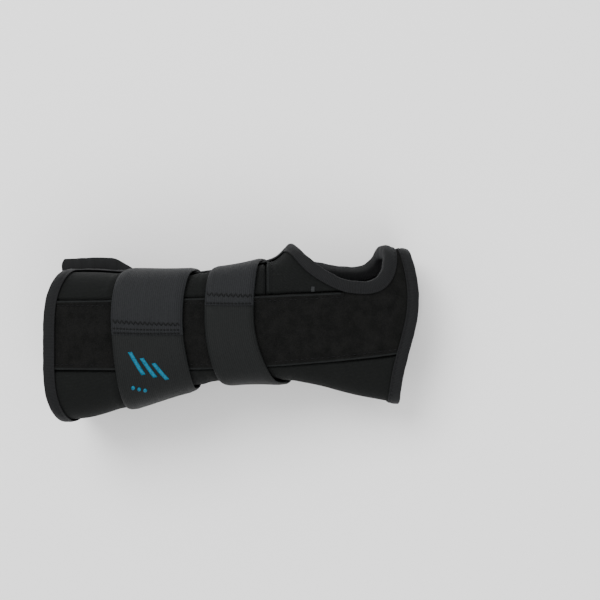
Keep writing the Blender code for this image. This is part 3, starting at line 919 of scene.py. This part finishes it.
def make_shell():
    """The five outer panels and the two linings; a cloth is its slot, finish, top and back."""
    start, end = forearm_edge(0.25), hand_edge(0.25)
    side = side_fabric("side_fabric", (0.0036, 0.0041, 0.0039), (0.0098, 0.0104, 0.0101))
    cover = ("loop_fabric", loop_fabric(), 0.0, COVER_BACK)
    outer = ("side_fabric", side, 0.0, SHELL_BACK)
    inner = ("lining", lining(), LINER_FACE, LINER_BACK)
    hole = palm_hole(HOLE_POINTS)
    beside_hole = hole[hole[:, 0] >= THENAR_END + SEAM_GAP]
    seam = shifted(along(pocket_top, start, THENAR_END + SEAM_GAP, SEAM_POINTS), SEAM_GAP / 2)
    high = np.concatenate((seam, beside_hole, line(HOLE_END + HOLE_AFTER, hand_edge(0.0), WEB_SEAM, 4)))
    low = shifted(facing(pocket_foot, high, start, end), -SEAM_GAP / 2)
    layer_piece("pocket_cover_loop_fabric", "palmar_pocket_cover", cover,
                panel_grid(high, low, True, True), 0.4, hems=(0, 1), depth=0.34)

    short = THENAR_START - SEAM_GAP
    low = line(start, short, PALM_EDGE, 40)
    high = shifted(along(pocket_top, start, short, 40), -SEAM_GAP / 2)
    layer_piece("radial_panel_fabric", "radial_panel", outer, panel_grid(low, high, True), 1.3)

    before_hole = line(THENAR_START, HOLE_START - HOLE_BEFORE, PALM_EDGE, 8)
    low = np.concatenate((before_hole, hole[hole[:, 0] <= THENAR_END]))
    high = shifted(facing(pocket_top, low, THENAR_START, THENAR_END), -SEAM_GAP / 2)
    layer_piece("thenar_panel_fabric", "thenar_panel", outer, panel_grid(low, high), 2.1, hems=(2,))

    low = shifted(along(pocket_foot, start, end, SEAM_POINTS), SEAM_GAP / 2)
    high = line(start, end, BACK_SEAM, SEAM_POINTS)
    layer_piece("ulnar_panel_fabric", "ulnar_panel", outer, panel_grid(low, high, True, True), 3.2)

    edge = free_edge(BACK_EDGE, back_hole(HOLE_POINTS), -WEB_SEAM) + (0.0, 1.0)
    high = shifted(facing(level_line(BACK_SEAM), edge, start, end), SEAM_GAP)
    layer_piece("dorsal_panel_fabric", "dorsal_panel", outer,
                panel_grid(edge, high, True, True), 4.6, hems=(1,))

    high = shifted(facing(level_line(LINER_SEAM), edge, start, end), SEAM_GAP)
    layer_piece("dorsal_lining", "dorsal_liner", inner, panel_grid(edge, high, True, True), 5.5)
    edge = free_edge(PALM_EDGE, palm_hole(HOLE_POINTS), WEB_SEAM)
    high = facing(level_line(LINER_SEAM), edge, start, end)
    layer_piece("palmar_lining", "palmar_liner", inner, panel_grid(edge, high, True, True), 6.1)


def tape_outline():
    """The rounded outline of the folded tape: millimetres in from the edge, and height."""
    outer = [(TAPE_WIDTH - 0.15, TAPE_EDGE), (TAPE_WIDTH, TAPE_EDGE + 0.30),
             (TAPE_WIDTH - 0.25, TAPE_EDGE + 0.58), (TAPE_STITCH_IN + 0.45, 1.02),
             (TAPE_STITCH_IN, 0.90), (TAPE_STITCH_IN - 0.45, 1.05), (3.6, TAPE_OUTER + 0.12),
             (2.0, TAPE_OUTER + 0.22), (0.7, TAPE_OUTER + 0.05)]
    middle, reach = (TAPE_OUTER + TAPE_INNER) / 2, (TAPE_OUTER - TAPE_INNER) / 2
    fold = [(0.6 - (0.6 - TAPE_RIM) * math.cos(angle) ** 0.6, middle + reach * math.sin(angle))
            for angle in np.linspace(math.radians(75), math.radians(-75), 9)]
    inner = [(depth, TAPE_INNER + rise) for depth, rise in
             ((0.7, -0.05), (2.0, -0.15), (3.6, -0.08), (TAPE_STITCH_IN, 0.30), (TAPE_WIDTH, 0.55),
              (TAPE_WIDTH - 0.1, 0.85), (4.0, 0.8), (1.0, 0.8), (0.0, 1.1))]
    slot_top = [(0.0, TAPE_OUTER - 0.9), (1.0, TAPE_OUTER - 0.75), (4.0, TAPE_EDGE)]
    return np.array(outer + fold + inner + slot_top)


def tape_frame(edge, inward, closed):
    """Unit steps into the panel at each point of an edge, as a place and a turn."""
    before = np.roll(edge, 1, axis=0) if closed else np.concatenate((edge[:1], edge[:-1]))
    after = np.roll(edge, -1, axis=0) if closed else np.concatenate((edge[1:], edge[-1:]))
    girth = girth_at(edge[:, 0], edge[:, 1])
    along_s = after[:, 0] - before[:, 0]
    round_g = ((after[:, 1] - before[:, 1] + 0.5) % 1.0 - 0.5) * girth
    size = np.hypot(along_s, round_g)
    return -inward * round_g / size, inward * along_s / size / girth


def binding(name, node, edge, inward, surface, seam, closed=False, pucker=0.10, ruffle=0.05):
    """The folded tape along an edge, puckered a little, with its row of stitches."""
    if closed:
        edge = np.concatenate((edge, edge[:1] + (0.0, round(edge[-1, 1] - edge[0, 1]))))
    edge = evenly(edge, TAPE_STEP)
    if closed:
        edge = edge[:-1]
    run = skin_steps(edge)
    step_s, step_turn = tape_frame(edge, inward, closed)
    outline = tape_outline()
    in_slot = np.zeros(len(outline), bool)  # the outline's last points and its first line the slot
    in_slot[[0, *range(-7, 0)]] = True
    depth, height = outline.T[:, None]
    rim = ruffle * waves(run, TAPE_RIM_WAVES)[:, None]
    depth = depth + rim * smooth_step((1.0 - depth) / 2.0)
    lumps = pucker * waves(run, TAPE_LUMPS)[:, None] * np.exp(-(((depth - 2.4) / 2.2) ** 2))
    gather = TAPE_GATHER * np.cos(2 * math.pi * run / STITCH_PITCH)[:, None]
    gather = gather * np.exp(-(((depth - TAPE_STITCH_IN) / 1.2) ** 2))
    swell = np.where(height > 0.5, lumps + gather, 0.0)
    if not closed:
        from_end = np.minimum(run, run[-1] - run)[:, None]
        middle = (TAPE_OUTER + TAPE_INNER) / 2
        over = np.sign(height - middle) * TAPE_OVERLAP
        slot = in_slot & (from_end < TAPE_STEP / 2)
        rounding = round_off(from_end, TAPE_END_ROUND, 0.12)
        height = np.where(slot, middle + 0.01 * np.sign(height - middle),
                          middle + (height + over - middle) * rounding)
    rings = at(edge[:, :1] + depth * step_s[:, None], edge[:, 1:] + depth * step_turn[:, None],
               height + swell)
    around = run_along(np.hypot(*np.diff(outline, axis=0).T))
    weave = weave_of(run[:, None], around[None, :])
    if closed:
        rings, weave = [np.concatenate((whole, whole[:1])) for whole in (rings, weave)]
    made = settle(tube(name, rings, surface, weave, capped=not closed), "binding_tape", "shell", node)
    row = np.stack((edge[:, 0] + TAPE_STITCH_IN * step_s, edge[:, 1] + TAPE_STITCH_IN * step_turn), 1)
    stitch_row(name + "_stitches", "shell", "binding_tape", [skin_line(row, 1.0)], seam)
    return made


def open_pocket_mouth(tape):
    """Cuts the slit in the forearm tape that the stay slides out through."""
    middle = BEND_RADIUS * math.asin(FOREARM_END_X / BEND_RADIUS)
    low, high = STAY_Y - STAY_WIDTH / 2 - MOUTH_MARGIN, STAY_Y + STAY_WIDTH / 2 + MOUTH_MARGIN
    back, top = STAY_BACK - MOUTH_RISE, STAY_TOP + MOUTH_RISE
    rings = np.array([[levelled(bent(s, y, z)) + SHIFT for y, z in
                       ((low, back), (high, back), (high, top), (low, top))]
                      for s in (middle - MOUTH_REACH, middle + MOUTH_REACH)])
    cutter = tube("pocket_mouth_cutter", rings, tape.data.materials[0], np.zeros((2, 4, 2)))
    cut = tape.modifiers.new("pocket_mouth", "BOOLEAN")
    cut.operation = "DIFFERENCE"
    cut.solver = "EXACT"
    cut.object = cutter
    bpy.context.view_layer.update()
    opened = bpy.data.meshes.new_from_object(tape.evaluated_get(bpy.context.evaluated_depsgraph_get()))
    tape.modifiers.clear()
    tape.data = opened
    bpy.data.objects.remove(cutter, do_unlink=True)


def make_bindings():
    """The folded tapes on every free edge, and the pocket mouth cut in the one at the forearm end."""
    surface = binding_tape()
    seam = thread("binding_thread", (0.003, 0.003, 0.004), (0.009, 0.009, 0.010))
    turns = np.linspace(PALM_EDGE, 1 + BACK_EDGE, 120)
    around = binding("forearm_end_tape", "forearm_binding", np.stack((forearm_edge(turns), turns), 1),
                     -1, surface, seam)
    open_pocket_mouth(around)
    turns = np.linspace(0.0, 1.0, 120, endpoint=False)
    binding("hand_end_tape", "hand_binding", np.stack((hand_edge(turns), turns), 1),
            1, surface, seam, closed=True)
    hole = np.concatenate((palm_hole(40), back_hole(40)[::-1]))
    binding("thumb_hole_tape", "thumb_binding", hole, 1, surface, seam, pucker=0.14, ruffle=0.09)
    start, end = forearm_edge(PALM_EDGE) - TAPE_BEYOND, HOLE_START - 3.0
    binding("palm_edge_tape", "palm_edge_binding", line(start, end, PALM_EDGE, SEAM_POINTS), 1,
            surface, seam)
    start = forearm_edge(BACK_EDGE) - TAPE_BEYOND
    binding("back_edge_tape", "back_edge_binding", line(start, end, BACK_EDGE, SEAM_POINTS), -1,
            surface, seam, pucker=0.15, ruffle=0.24)


def welt(name, points, surface, radius):
    """A thin raised cord of fabric along a seam."""
    sides = 10
    centre, out = skin_line(points, WELT_HEIGHT - radius, WELT_STEP)
    out = unit(out)
    side = WELT_WIDENING * np.cross(unit(np.gradient(centre, axis=0)), out)
    run = np.arange(len(centre)) * WELT_STEP
    ends = round_off(np.minimum(run, run[::-1]), WELT_END_ROUND, 0.08)
    size = (radius * ends * (1 + waves(run, WELT_WAVES)) * MM)[:, None, None]
    rings = rings_round(centre, side, out, size, sides)
    weave = weave_of(run[:, None], np.linspace(0, 2 * math.pi, sides, endpoint=False)[None, :] * radius)
    settle(tube(name, rings, surface, weave), "side_fabric", "shell")


def thumb_seam(distance, low, inset):
    """A line at a distance beside the seam over the wrist, up to just short of the pocket's seam."""
    return line(THENAR_START + distance, THENAR_START + distance, 0.0, 30) + np.stack(
        (np.zeros(30), np.linspace(low, pocket_top(THENAR_START)[1] - inset, 30)), axis=1)


def make_seams():
    """Welts and topstitching along the panels' seams, and the bar tack on the pocket's upper one."""
    start, end = forearm_edge(0.25) + TAPE_WIDTH, hand_edge(0.25) - TAPE_WIDTH
    upper = along(pocket_top, start, UPPER_WELT_END, SEAM_POINTS)
    lower = along(pocket_foot, start, end, SEAM_POINTS)
    web = line(HOLE_END + 1.0, hand_edge(0.0) - 1.0, 0.0, 12)
    # The welts' fabric is the side fabric in lighter tones: a painted highlight along the seams.
    turned = side_fabric("turned_edge", (0.0062, 0.0070, 0.0070), (0.0140, 0.0148, 0.0148))
    welt("upper_seam_welt", shifted(upper, WELT_IN), turned, WELT_RADIUS)
    welt("lower_seam_welt", shifted(lower, -WELT_IN), turned, WELT_RADIUS)
    welt("thumb_seam_welt", thumb_seam(WELT_IN, 0.035, 0.006), turned, WELT_RADIUS)
    welt("web_seam_welt", web, turned, WEB_WELT_RADIUS)
    seam = thread("panel_thread", (0.002, 0.002, 0.003), (0.007, 0.007, 0.007))
    back = shifted(line(start, end, BACK_SEAM, SEAM_POINTS), TOPSTITCH_IN)
    rows = [skin_line(points, 0.05) for points in
            (shifted(upper, TOPSTITCH_IN), shifted(lower, -TOPSTITCH_IN),
             thumb_seam(TOPSTITCH_IN, 0.03, 0.01), back)]
    stitch_row("panel_stitches", "shell", "side_fabric", rows, seam)
    tack = []
    for step in np.linspace(-0.8, 0.8, 5):
        s, turn = pocket_top(TACK_PLACE + step)
        bar = np.array(((s, turn - 3.6 / MEAN_GIRTH), (s, turn + 0.2 / MEAN_GIRTH)))
        tack.append(skin_line(bar, 0.25, 0.5))
    light = thread("tack_thread", (0.014, 0.015, 0.016), (0.030, 0.032, 0.033))
    stitch_row("pocket_bar_tack", "shell", "side_fabric", tack, light, length=3.2, pitch=3.4)


# ---- straps


def forearm_strap_place(turn):
    """Its middle line: all but square to the forearm, bowed a little over the palm side."""
    return -39.6 - 5.8 * np.maximum(0.0, np.sin(2 * math.pi * (turn + 0.05))) ** 2


def wrist_strap_place(turn):
    """Its middle line, which leans across the wrist."""
    once, twice = 2 * math.pi * (turn - 0.42), 4 * math.pi * (turn - 0.5)
    return 16.0 + 14.0 * np.sin(once) + 2.0 * np.sin(twice)


class Strap:
    """One strap's run round the splint: its middle line, its width and where its tab ends."""

    def __init__(self, name, place, width, end_y, rows, zigzag):
        self.name, self.place, self.width, self.end_y = name, place, width, end_y
        self.rows, self.zigzag = rows, zigzag
        self.meeting = turn_at(place(0.25), end_y)
        self.sewn_start = self.meeting - SEWN_UNDERLAP / girth_at(place(0.25), self.meeting)
        side_s, side_turn = self.side(self.meeting)
        low, high = (turn_at(place(self.meeting) + k * side_s, end_y) for k in (-1, 1))
        self.slant = (high - low) / 2 - side_turn

    def side(self, turn):
        """Half the width square to the run, as a step along the splint and a step of turn."""
        step = 0.002
        girth = girth_at(self.place(turn), turn)
        along_s = self.place(turn + step) - self.place(turn - step)
        round_g = 2 * step * girth
        half = self.width / 2 / np.hypot(along_s, round_g)
        return round_g * half, -along_s * half / girth

    def slant_at(self, turn):
        """The line across the strap leans to one level at the tab's end and the strap's start."""
        anchor = np.clip(1 - (turn - self.meeting) / (0.5 - self.meeting), 0, 1)
        tab = np.clip((turn - PALM_HINGE) / (1 + self.meeting - PALM_HINGE), 0, 1)
        return self.slant * np.where(turn > 0.75, tab, anchor)

    def points(self, turn, across, height):
        """Points of the strap, where across runs from -1 to 1 over its width."""
        side_s, side_turn = self.side(turn)
        return at(self.place(turn) + across * side_s,
                  turn + across * (side_turn + self.slant_at(turn)), height)

    def turns(self, start, end):
        girth = girth_at(self.place(start), start)
        return np.linspace(start, end, max(4, round((end - start) * girth / STRAP_STEP)))


# end_y is where the tab's end is across the splint; rows and zigzag are millimetres from that end.
STRAPS = (
    Strap("forearm_strap", forearm_strap_place, width=43.0, end_y=-8.6, rows=(1.1, 3.5), zigzag=6.0),
    Strap("wrist_strap", wrist_strap_place, width=29.0, end_y=8.9, rows=(1.1,), zigzag=4.5),
)


def strap_section():
    """The elastic's outline, with a bead along each edge: across and height from -1 to 1."""
    across = np.sin(np.linspace(-math.pi / 2, math.pi / 2, 25))
    height = (1 - np.abs(across) ** 14).clip(0) ** (1 / 2.2)
    bead = 0.16 * np.exp(-(((np.abs(across) - 0.93) / 0.045) ** 2))
    return (np.concatenate((across, across[-2:0:-1])),
            np.concatenate((height + bead, -height[-2:0:-1])))


def edge_droop(across):
    return STRAP_EDGE_DROOP * smooth_step((np.abs(across) - STRAP_DROOP_FROM) / (1 - STRAP_DROOP_FROM))


def strap_relief(run, from_end, closed_end, step):
    """How far a stretch of elastic stands off its even height along its run."""
    relief = waves(run, STRAP_WAVES) - step * (1 - smooth_step(run / TAB_STEP_RUN))
    if closed_end:
        sewn_down = smooth_step(from_end - TAB_PRESS_FROM) - smooth_step((from_end - TAB_PRESS_TO) / 1.2)
        relief = relief - TAB_PRESS * sewn_down
    return relief


def strap_piece(strap, name, node, start, end, surface, closed_start=False, closed_end=False, step=0.0):
    """A stretch of elastic, rounded over at an end that shows; step lowers its start."""
    turns = strap.turns(start, end)
    across, height = strap_section()
    run = (turns - start) * girth_at(strap.place(turns), turns)
    full = np.ones(len(turns))
    if closed_start:
        full *= round_off(run, STRAP_END_ROUND, 0.02)
    if closed_end:
        full *= round_off(run[-1] - run, STRAP_END_ROUND, 0.02)
    middle, half = (STRAP_TOP + STRAP_BACK) / 2, (STRAP_TOP - STRAP_BACK) / 2
    relief = strap_relief(run, run[-1] - run, closed_end, step)
    heights = (middle + relief)[:, None] + half * full[:, None] * height - edge_droop(across)
    rings = strap.points(turns[:, None], across[None, :], heights)
    wide = run_along(np.abs(np.diff(across))) * strap.width / 2
    weave = weave_of(run[:, None], wide[None, :])
    made = tube(f"{strap.name}_{name}", rings, surface, weave, sharp=60)
    return settle(made, "strap_elastic", node=f"{strap.name}_{node}")


def hook_patch(strap, body, surface):
    """The patch under the tab: a moulded base with rows of small hooks facing the splint."""
    tab_end = 1 + strap.meeting - HOOK_SHORT_OF_END
    start = tab_end - HOOK_REACH * (tab_end - PALM_HINGE)
    turns = strap.turns(start, tab_end)
    across, height = strap_section()
    rounded = round_off(np.minimum(turns - start, tab_end - turns), 1 / MEAN_GIRTH, 0.05)
    middle, half = (HOOK_HIGH + HOOK_LOW) / 2, (HOOK_HIGH - HOOK_LOW) / 2
    heights = middle + half * rounded[:, None] * height[None, :]
    rings = strap.points(turns[:, None], across[None, :] * HOOK_WIDTH_SHARE, heights)
    weave = weave_of(turns[:, None] * MEAN_GIRTH, across[None, :] * 20)
    base = tube(strap.name + "_hook_tape", rings, surface, weave, sharp=60)
    settle(base, "hook_tape", body, strap.name + "_hook_patch")
    columns = int(strap.width * HOOK_WIDTH_SHARE / HOOK_PITCH)
    rows = int((tab_end - start) * MEAN_GIRTH / HOOK_PITCH)
    spread = np.linspace(-0.94, 0.94, columns) * HOOK_WIDTH_SHARE
    turn, side = np.meshgrid(np.linspace(start, tab_end, rows + 2)[1:-1], spread, indexing="ij")
    turn, side = turn.ravel(), side.ravel()
    feet = strap.points(turn, side, HOOK_LOW + 0.1)
    tips = strap.points(turn + HOOK_LEAN / MEAN_GIRTH, side, HOOK_LOW - HOOK_DROP)
    ahead = strap.points(turn + 1.0 / MEAN_GIRTH, side, HOOK_LOW) - strap.points(turn, side, HOOK_LOW)
    down = tips - feet
    ahead, sideways = [HOOK_HALF * MM * unit(step) for step in (ahead, np.cross(ahead, down))]
    # Each hook is a peg of three squares: its foot, its waist and its wider head.
    square = np.stack((ahead + sideways, ahead - sideways, -ahead - sideways, -ahead + sideways), axis=1)
    levels = (feet[:, None] + square, (feet + 0.7 * down)[:, None] + 0.6 * square,
              (tips - 0.2 * down)[:, None] + 1.2 * square)
    pegs = np.stack(levels, axis=1)
    faces = [face for peg in range(len(feet)) for face in tube_faces(3, 4, peg * 12)]
    settle(add_mesh(strap.name + "_hooks", pegs.reshape(-1, 3), faces, surface), "hook_tape", body)


def strap_line(strap, across, from_end, start, end, closed_end):
    """A stitching line on a stretch of elastic, at so many millimetres from its end."""
    girth = girth_at(strap.place(end), end)
    relief = strap_relief((end - start) * girth - from_end, from_end, closed_end, 0.0)
    height = STRAP_TOP + relief + THREAD_LIFT - edge_droop(across)
    turn = end - from_end / girth
    low = strap.points(turn, across, height)
    return low, strap.points(turn, across, height + 1.0) - low


def cross_rows(strap, offsets, start, end, closed_end):
    """Straight stitching lines across a stretch of elastic."""
    across = np.linspace(-ROW_REACH, ROW_REACH, 60)
    return [strap_line(strap, across, np.full(60, offset), start, end, closed_end) for offset in offsets]


def zigzag_rows(strap, start, end):
    """A zigzag across the tab: one short line for each leg."""
    low, high = strap.zigzag, strap.zigzag + ZIGZAG_WIDTH
    legs = round(strap.width * ROW_REACH / ZIGZAG_STEP)
    corners = np.linspace(-ROW_REACH, ROW_REACH, legs + 1)
    rows = []
    for k, (near, far) in enumerate(zip(corners, corners[1:])):
        first, last = (low, high) if k % 2 else (high, low)
        leg = np.linspace(near, far, 6), np.linspace(first, last, 6)
        rows.append(strap_line(strap, *leg, start, end, True))
    return rows


def make_strap(strap, tab_surface, base_surface, hooks, seam):
    """A strap in three pieces: sewn stretch, lifting side and peeling tab."""
    lift, peel = strap.name + "_lift", strap.name + "_peel"
    tab_end = 1 + strap.meeting

    def bend(piece, body, next_body, hinge):
        start, end = [strap.points(hinge + k * HINGE_SPREAD, 0.0, STRAP_TOP) for k in (-1, 1)]
        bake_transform(piece)

    def sew(name, body, rows, stitch):
        stitch_row(strap.name + name, body, "strap_elastic", rows, seam, *stitch)

    base = strap_piece(strap, "sewn_elastic", "anchor", strap.sewn_start, SIDE_START, base_surface,
                       closed_start=True, step=TAB_STEP)
    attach(base, "shell")
    side = strap_piece(strap, "lifting_elastic", "side", SIDE_START, SIDE_END, tab_surface)
    bend(side, "shell", lift, BACK_HINGE)
    tab = strap_piece(strap, "tab_elastic", "tab", SIDE_END, tab_end, tab_surface, closed_end=True)
    bend(tab, lift, peel, PALM_HINGE)
    hook_patch(strap, peel, hooks)
    sew("_tab_stitches", peel, cross_rows(strap, strap.rows, SIDE_END, tab_end, True), ROW_STITCH)
    sew("_tab_zigzag", peel, zigzag_rows(strap, SIDE_END, tab_end), ZIGZAG_STITCH)
    sew("_sewn_stitches", "shell",
        cross_rows(strap, SEWN_ROWS, strap.sewn_start, SIDE_START, False), ROW_STITCH)


def make_straps():
    tab = strap_elastic("strap_tab_elastic", (0.0056, 0.0061, 0.0067), (0.0130, 0.0138, 0.0151))
    base = strap_elastic("strap_base_elastic", (0.0036, 0.0041, 0.0041), (0.0082, 0.0090, 0.0089))
    hooks = hook_tape()
    seam = thread("strap_thread", (0.0020, 0.0020, 0.0022), (0.0050, 0.0052, 0.0054))
    for strap in STRAPS:
        make_strap(strap, tab, base, hooks, seam)


def make_mark(strap):
    """A generic printed mark on the forearm strap: three slanted bars over a row of dots."""
    points, faces = [], []
    girth = girth_at(strap.place(0.35), 0.35)

    def patch(left, right, down):
        """A thin raised print between two lines across the strap, at millimetres down it."""
        run = SEWN_UNDERLAP + down
        height = STRAP_TOP + strap_relief(run, run, False, TAB_STEP) + MARK_RISE
        turn = strap.meeting + down / girth
        corners = ((left, height), (right, height), (right, height - 0.5), (left, height - 0.5))
        rings = np.stack([strap.points(turn, across, level) for across, level in corners], axis=1)
        faces.extend(tube_faces(len(rings), 4, len(points)))
        points.extend(rings.reshape(-1, 3).tolist())

    share = np.linspace(0.0, 1.0, 14)
    for left, start, length in MARK_BARS:
        slanted = left + MARK_LEAN * share
        patch(slanted, slanted + MARK_BAR_WIDTH, start + length * share)
    angle = np.linspace(-math.pi / 2 + 0.15, math.pi / 2 - 0.15, 7)
    for across, centre in MARK_DOTS:
        half = MARK_DOT_HALF * np.cos(angle)
        patch(across - half, across + half, centre + MARK_DOT_RADIUS * np.sin(angle))
    settle(add_mesh("forearm_strap_generic_mark", points, faces, print_ink()), "strap_elastic", "shell")


# ---- stay


def make_stay():
    """The stay keeps its solid with a better surface; its tips get rounded edges."""
    frame["nodes"]["palmar_stay"].data.materials.clear()
    frame["nodes"]["palmar_stay"].data.materials.append(stay_metal())
    vinyl = stay_tip()
    for node in ("stay_tip_forearm", "stay_tip_hand"):
        mesh = frame["nodes"][node].data.copy()
        mesh.materials.clear()
        mesh.materials.append(vinyl)
        made = put(node + "_dip", mesh)
        weld = made.modifiers.new("weld", "WELD")
        weld.merge_threshold = 0.00005
        bevel = made.modifiers.new("round_edges", "BEVEL")
        bevel.width = 0.0005
        bevel.segments = 3
        bevel.limit_method = "ANGLE"
        bevel.angle_limit = math.radians(50)
        settle(made, "stay_tip", "stay", node)


# ---- studio


def make_floor():
    mesh = bpy.data.meshes.new("floor")
    reach = 4.0
    corners = ((-reach, -reach), (reach, -reach), (reach, reach), (-reach, reach))
    mesh.from_pydata([(x, y, FLOOR_Z) for x, y in corners], [], [(0, 1, 2, 3)])
    pale = bpy.data.materials.new("pale_floor")
    pale.use_nodes = True
    shader = pale.node_tree.nodes["Principled BSDF"]
    shader.inputs["Base Color"].default_value = (0.90, 0.90, 0.90, 1.0)
    shader.inputs["Roughness"].default_value = 0.9
    mesh.materials.append(pale)
    put("floor", mesh)


def aimed(name, data, where, direction):
    """A new object that looks along a direction, with +Y up its picture."""
    back = -unit(np.array(direction, float))
    right = unit(np.cross((0.0, 1.0, 0.0), back))
    made = put(name, data)
    made.location = where
    made.rotation_euler = Matrix((right, np.cross(back, right), back)).transposed().to_euler()
    return made


def add_light(name, where, size, power):
    """A round soft light that faces the splint."""
    light = bpy.data.lights.new(name, "AREA")
    light.shape = "DISK"
    light.size = size
    light.energy = power
    aimed(name, light, where, np.subtract(LIGHT_AIM, where))


def make_studio():
    """A pale floor, soft light, and the camera straight over the palm."""
    make_floor()
    world = bpy.data.worlds.new("studio")
    world.use_nodes = True
    sky = world.node_tree.nodes["Background"]
    sky.inputs["Color"].default_value = (1.0, 1.0, 1.0, 1.0)
    sky.inputs["Strength"].default_value = 1.12
    bpy.context.scene.world = world
    add_light("key", (-0.35, 0.75, 1.25), size=0.9, power=21.0)
    add_light("fill", (0.55, -0.9, 1.1), size=1.1, power=10.0)
    lens = bpy.data.cameras.new("camera")
    lens.lens = CAMERA_LENS
    lens.sensor_width = 36.0
    where = levelled(np.array((CAMERA_PLACE, CAMERA_Y, CAMERA_HEIGHT))) + SHIFT
    sight = levelled(np.array((0.0, 0.0, -1.0)))
    bpy.context.scene.camera = aimed("camera", lens, where, sight)


make_shell()
make_bindings()
make_seams()
make_straps()
make_mark(STRAPS[0])
make_stay()
make_studio()

bpy.context.view_layer.update()
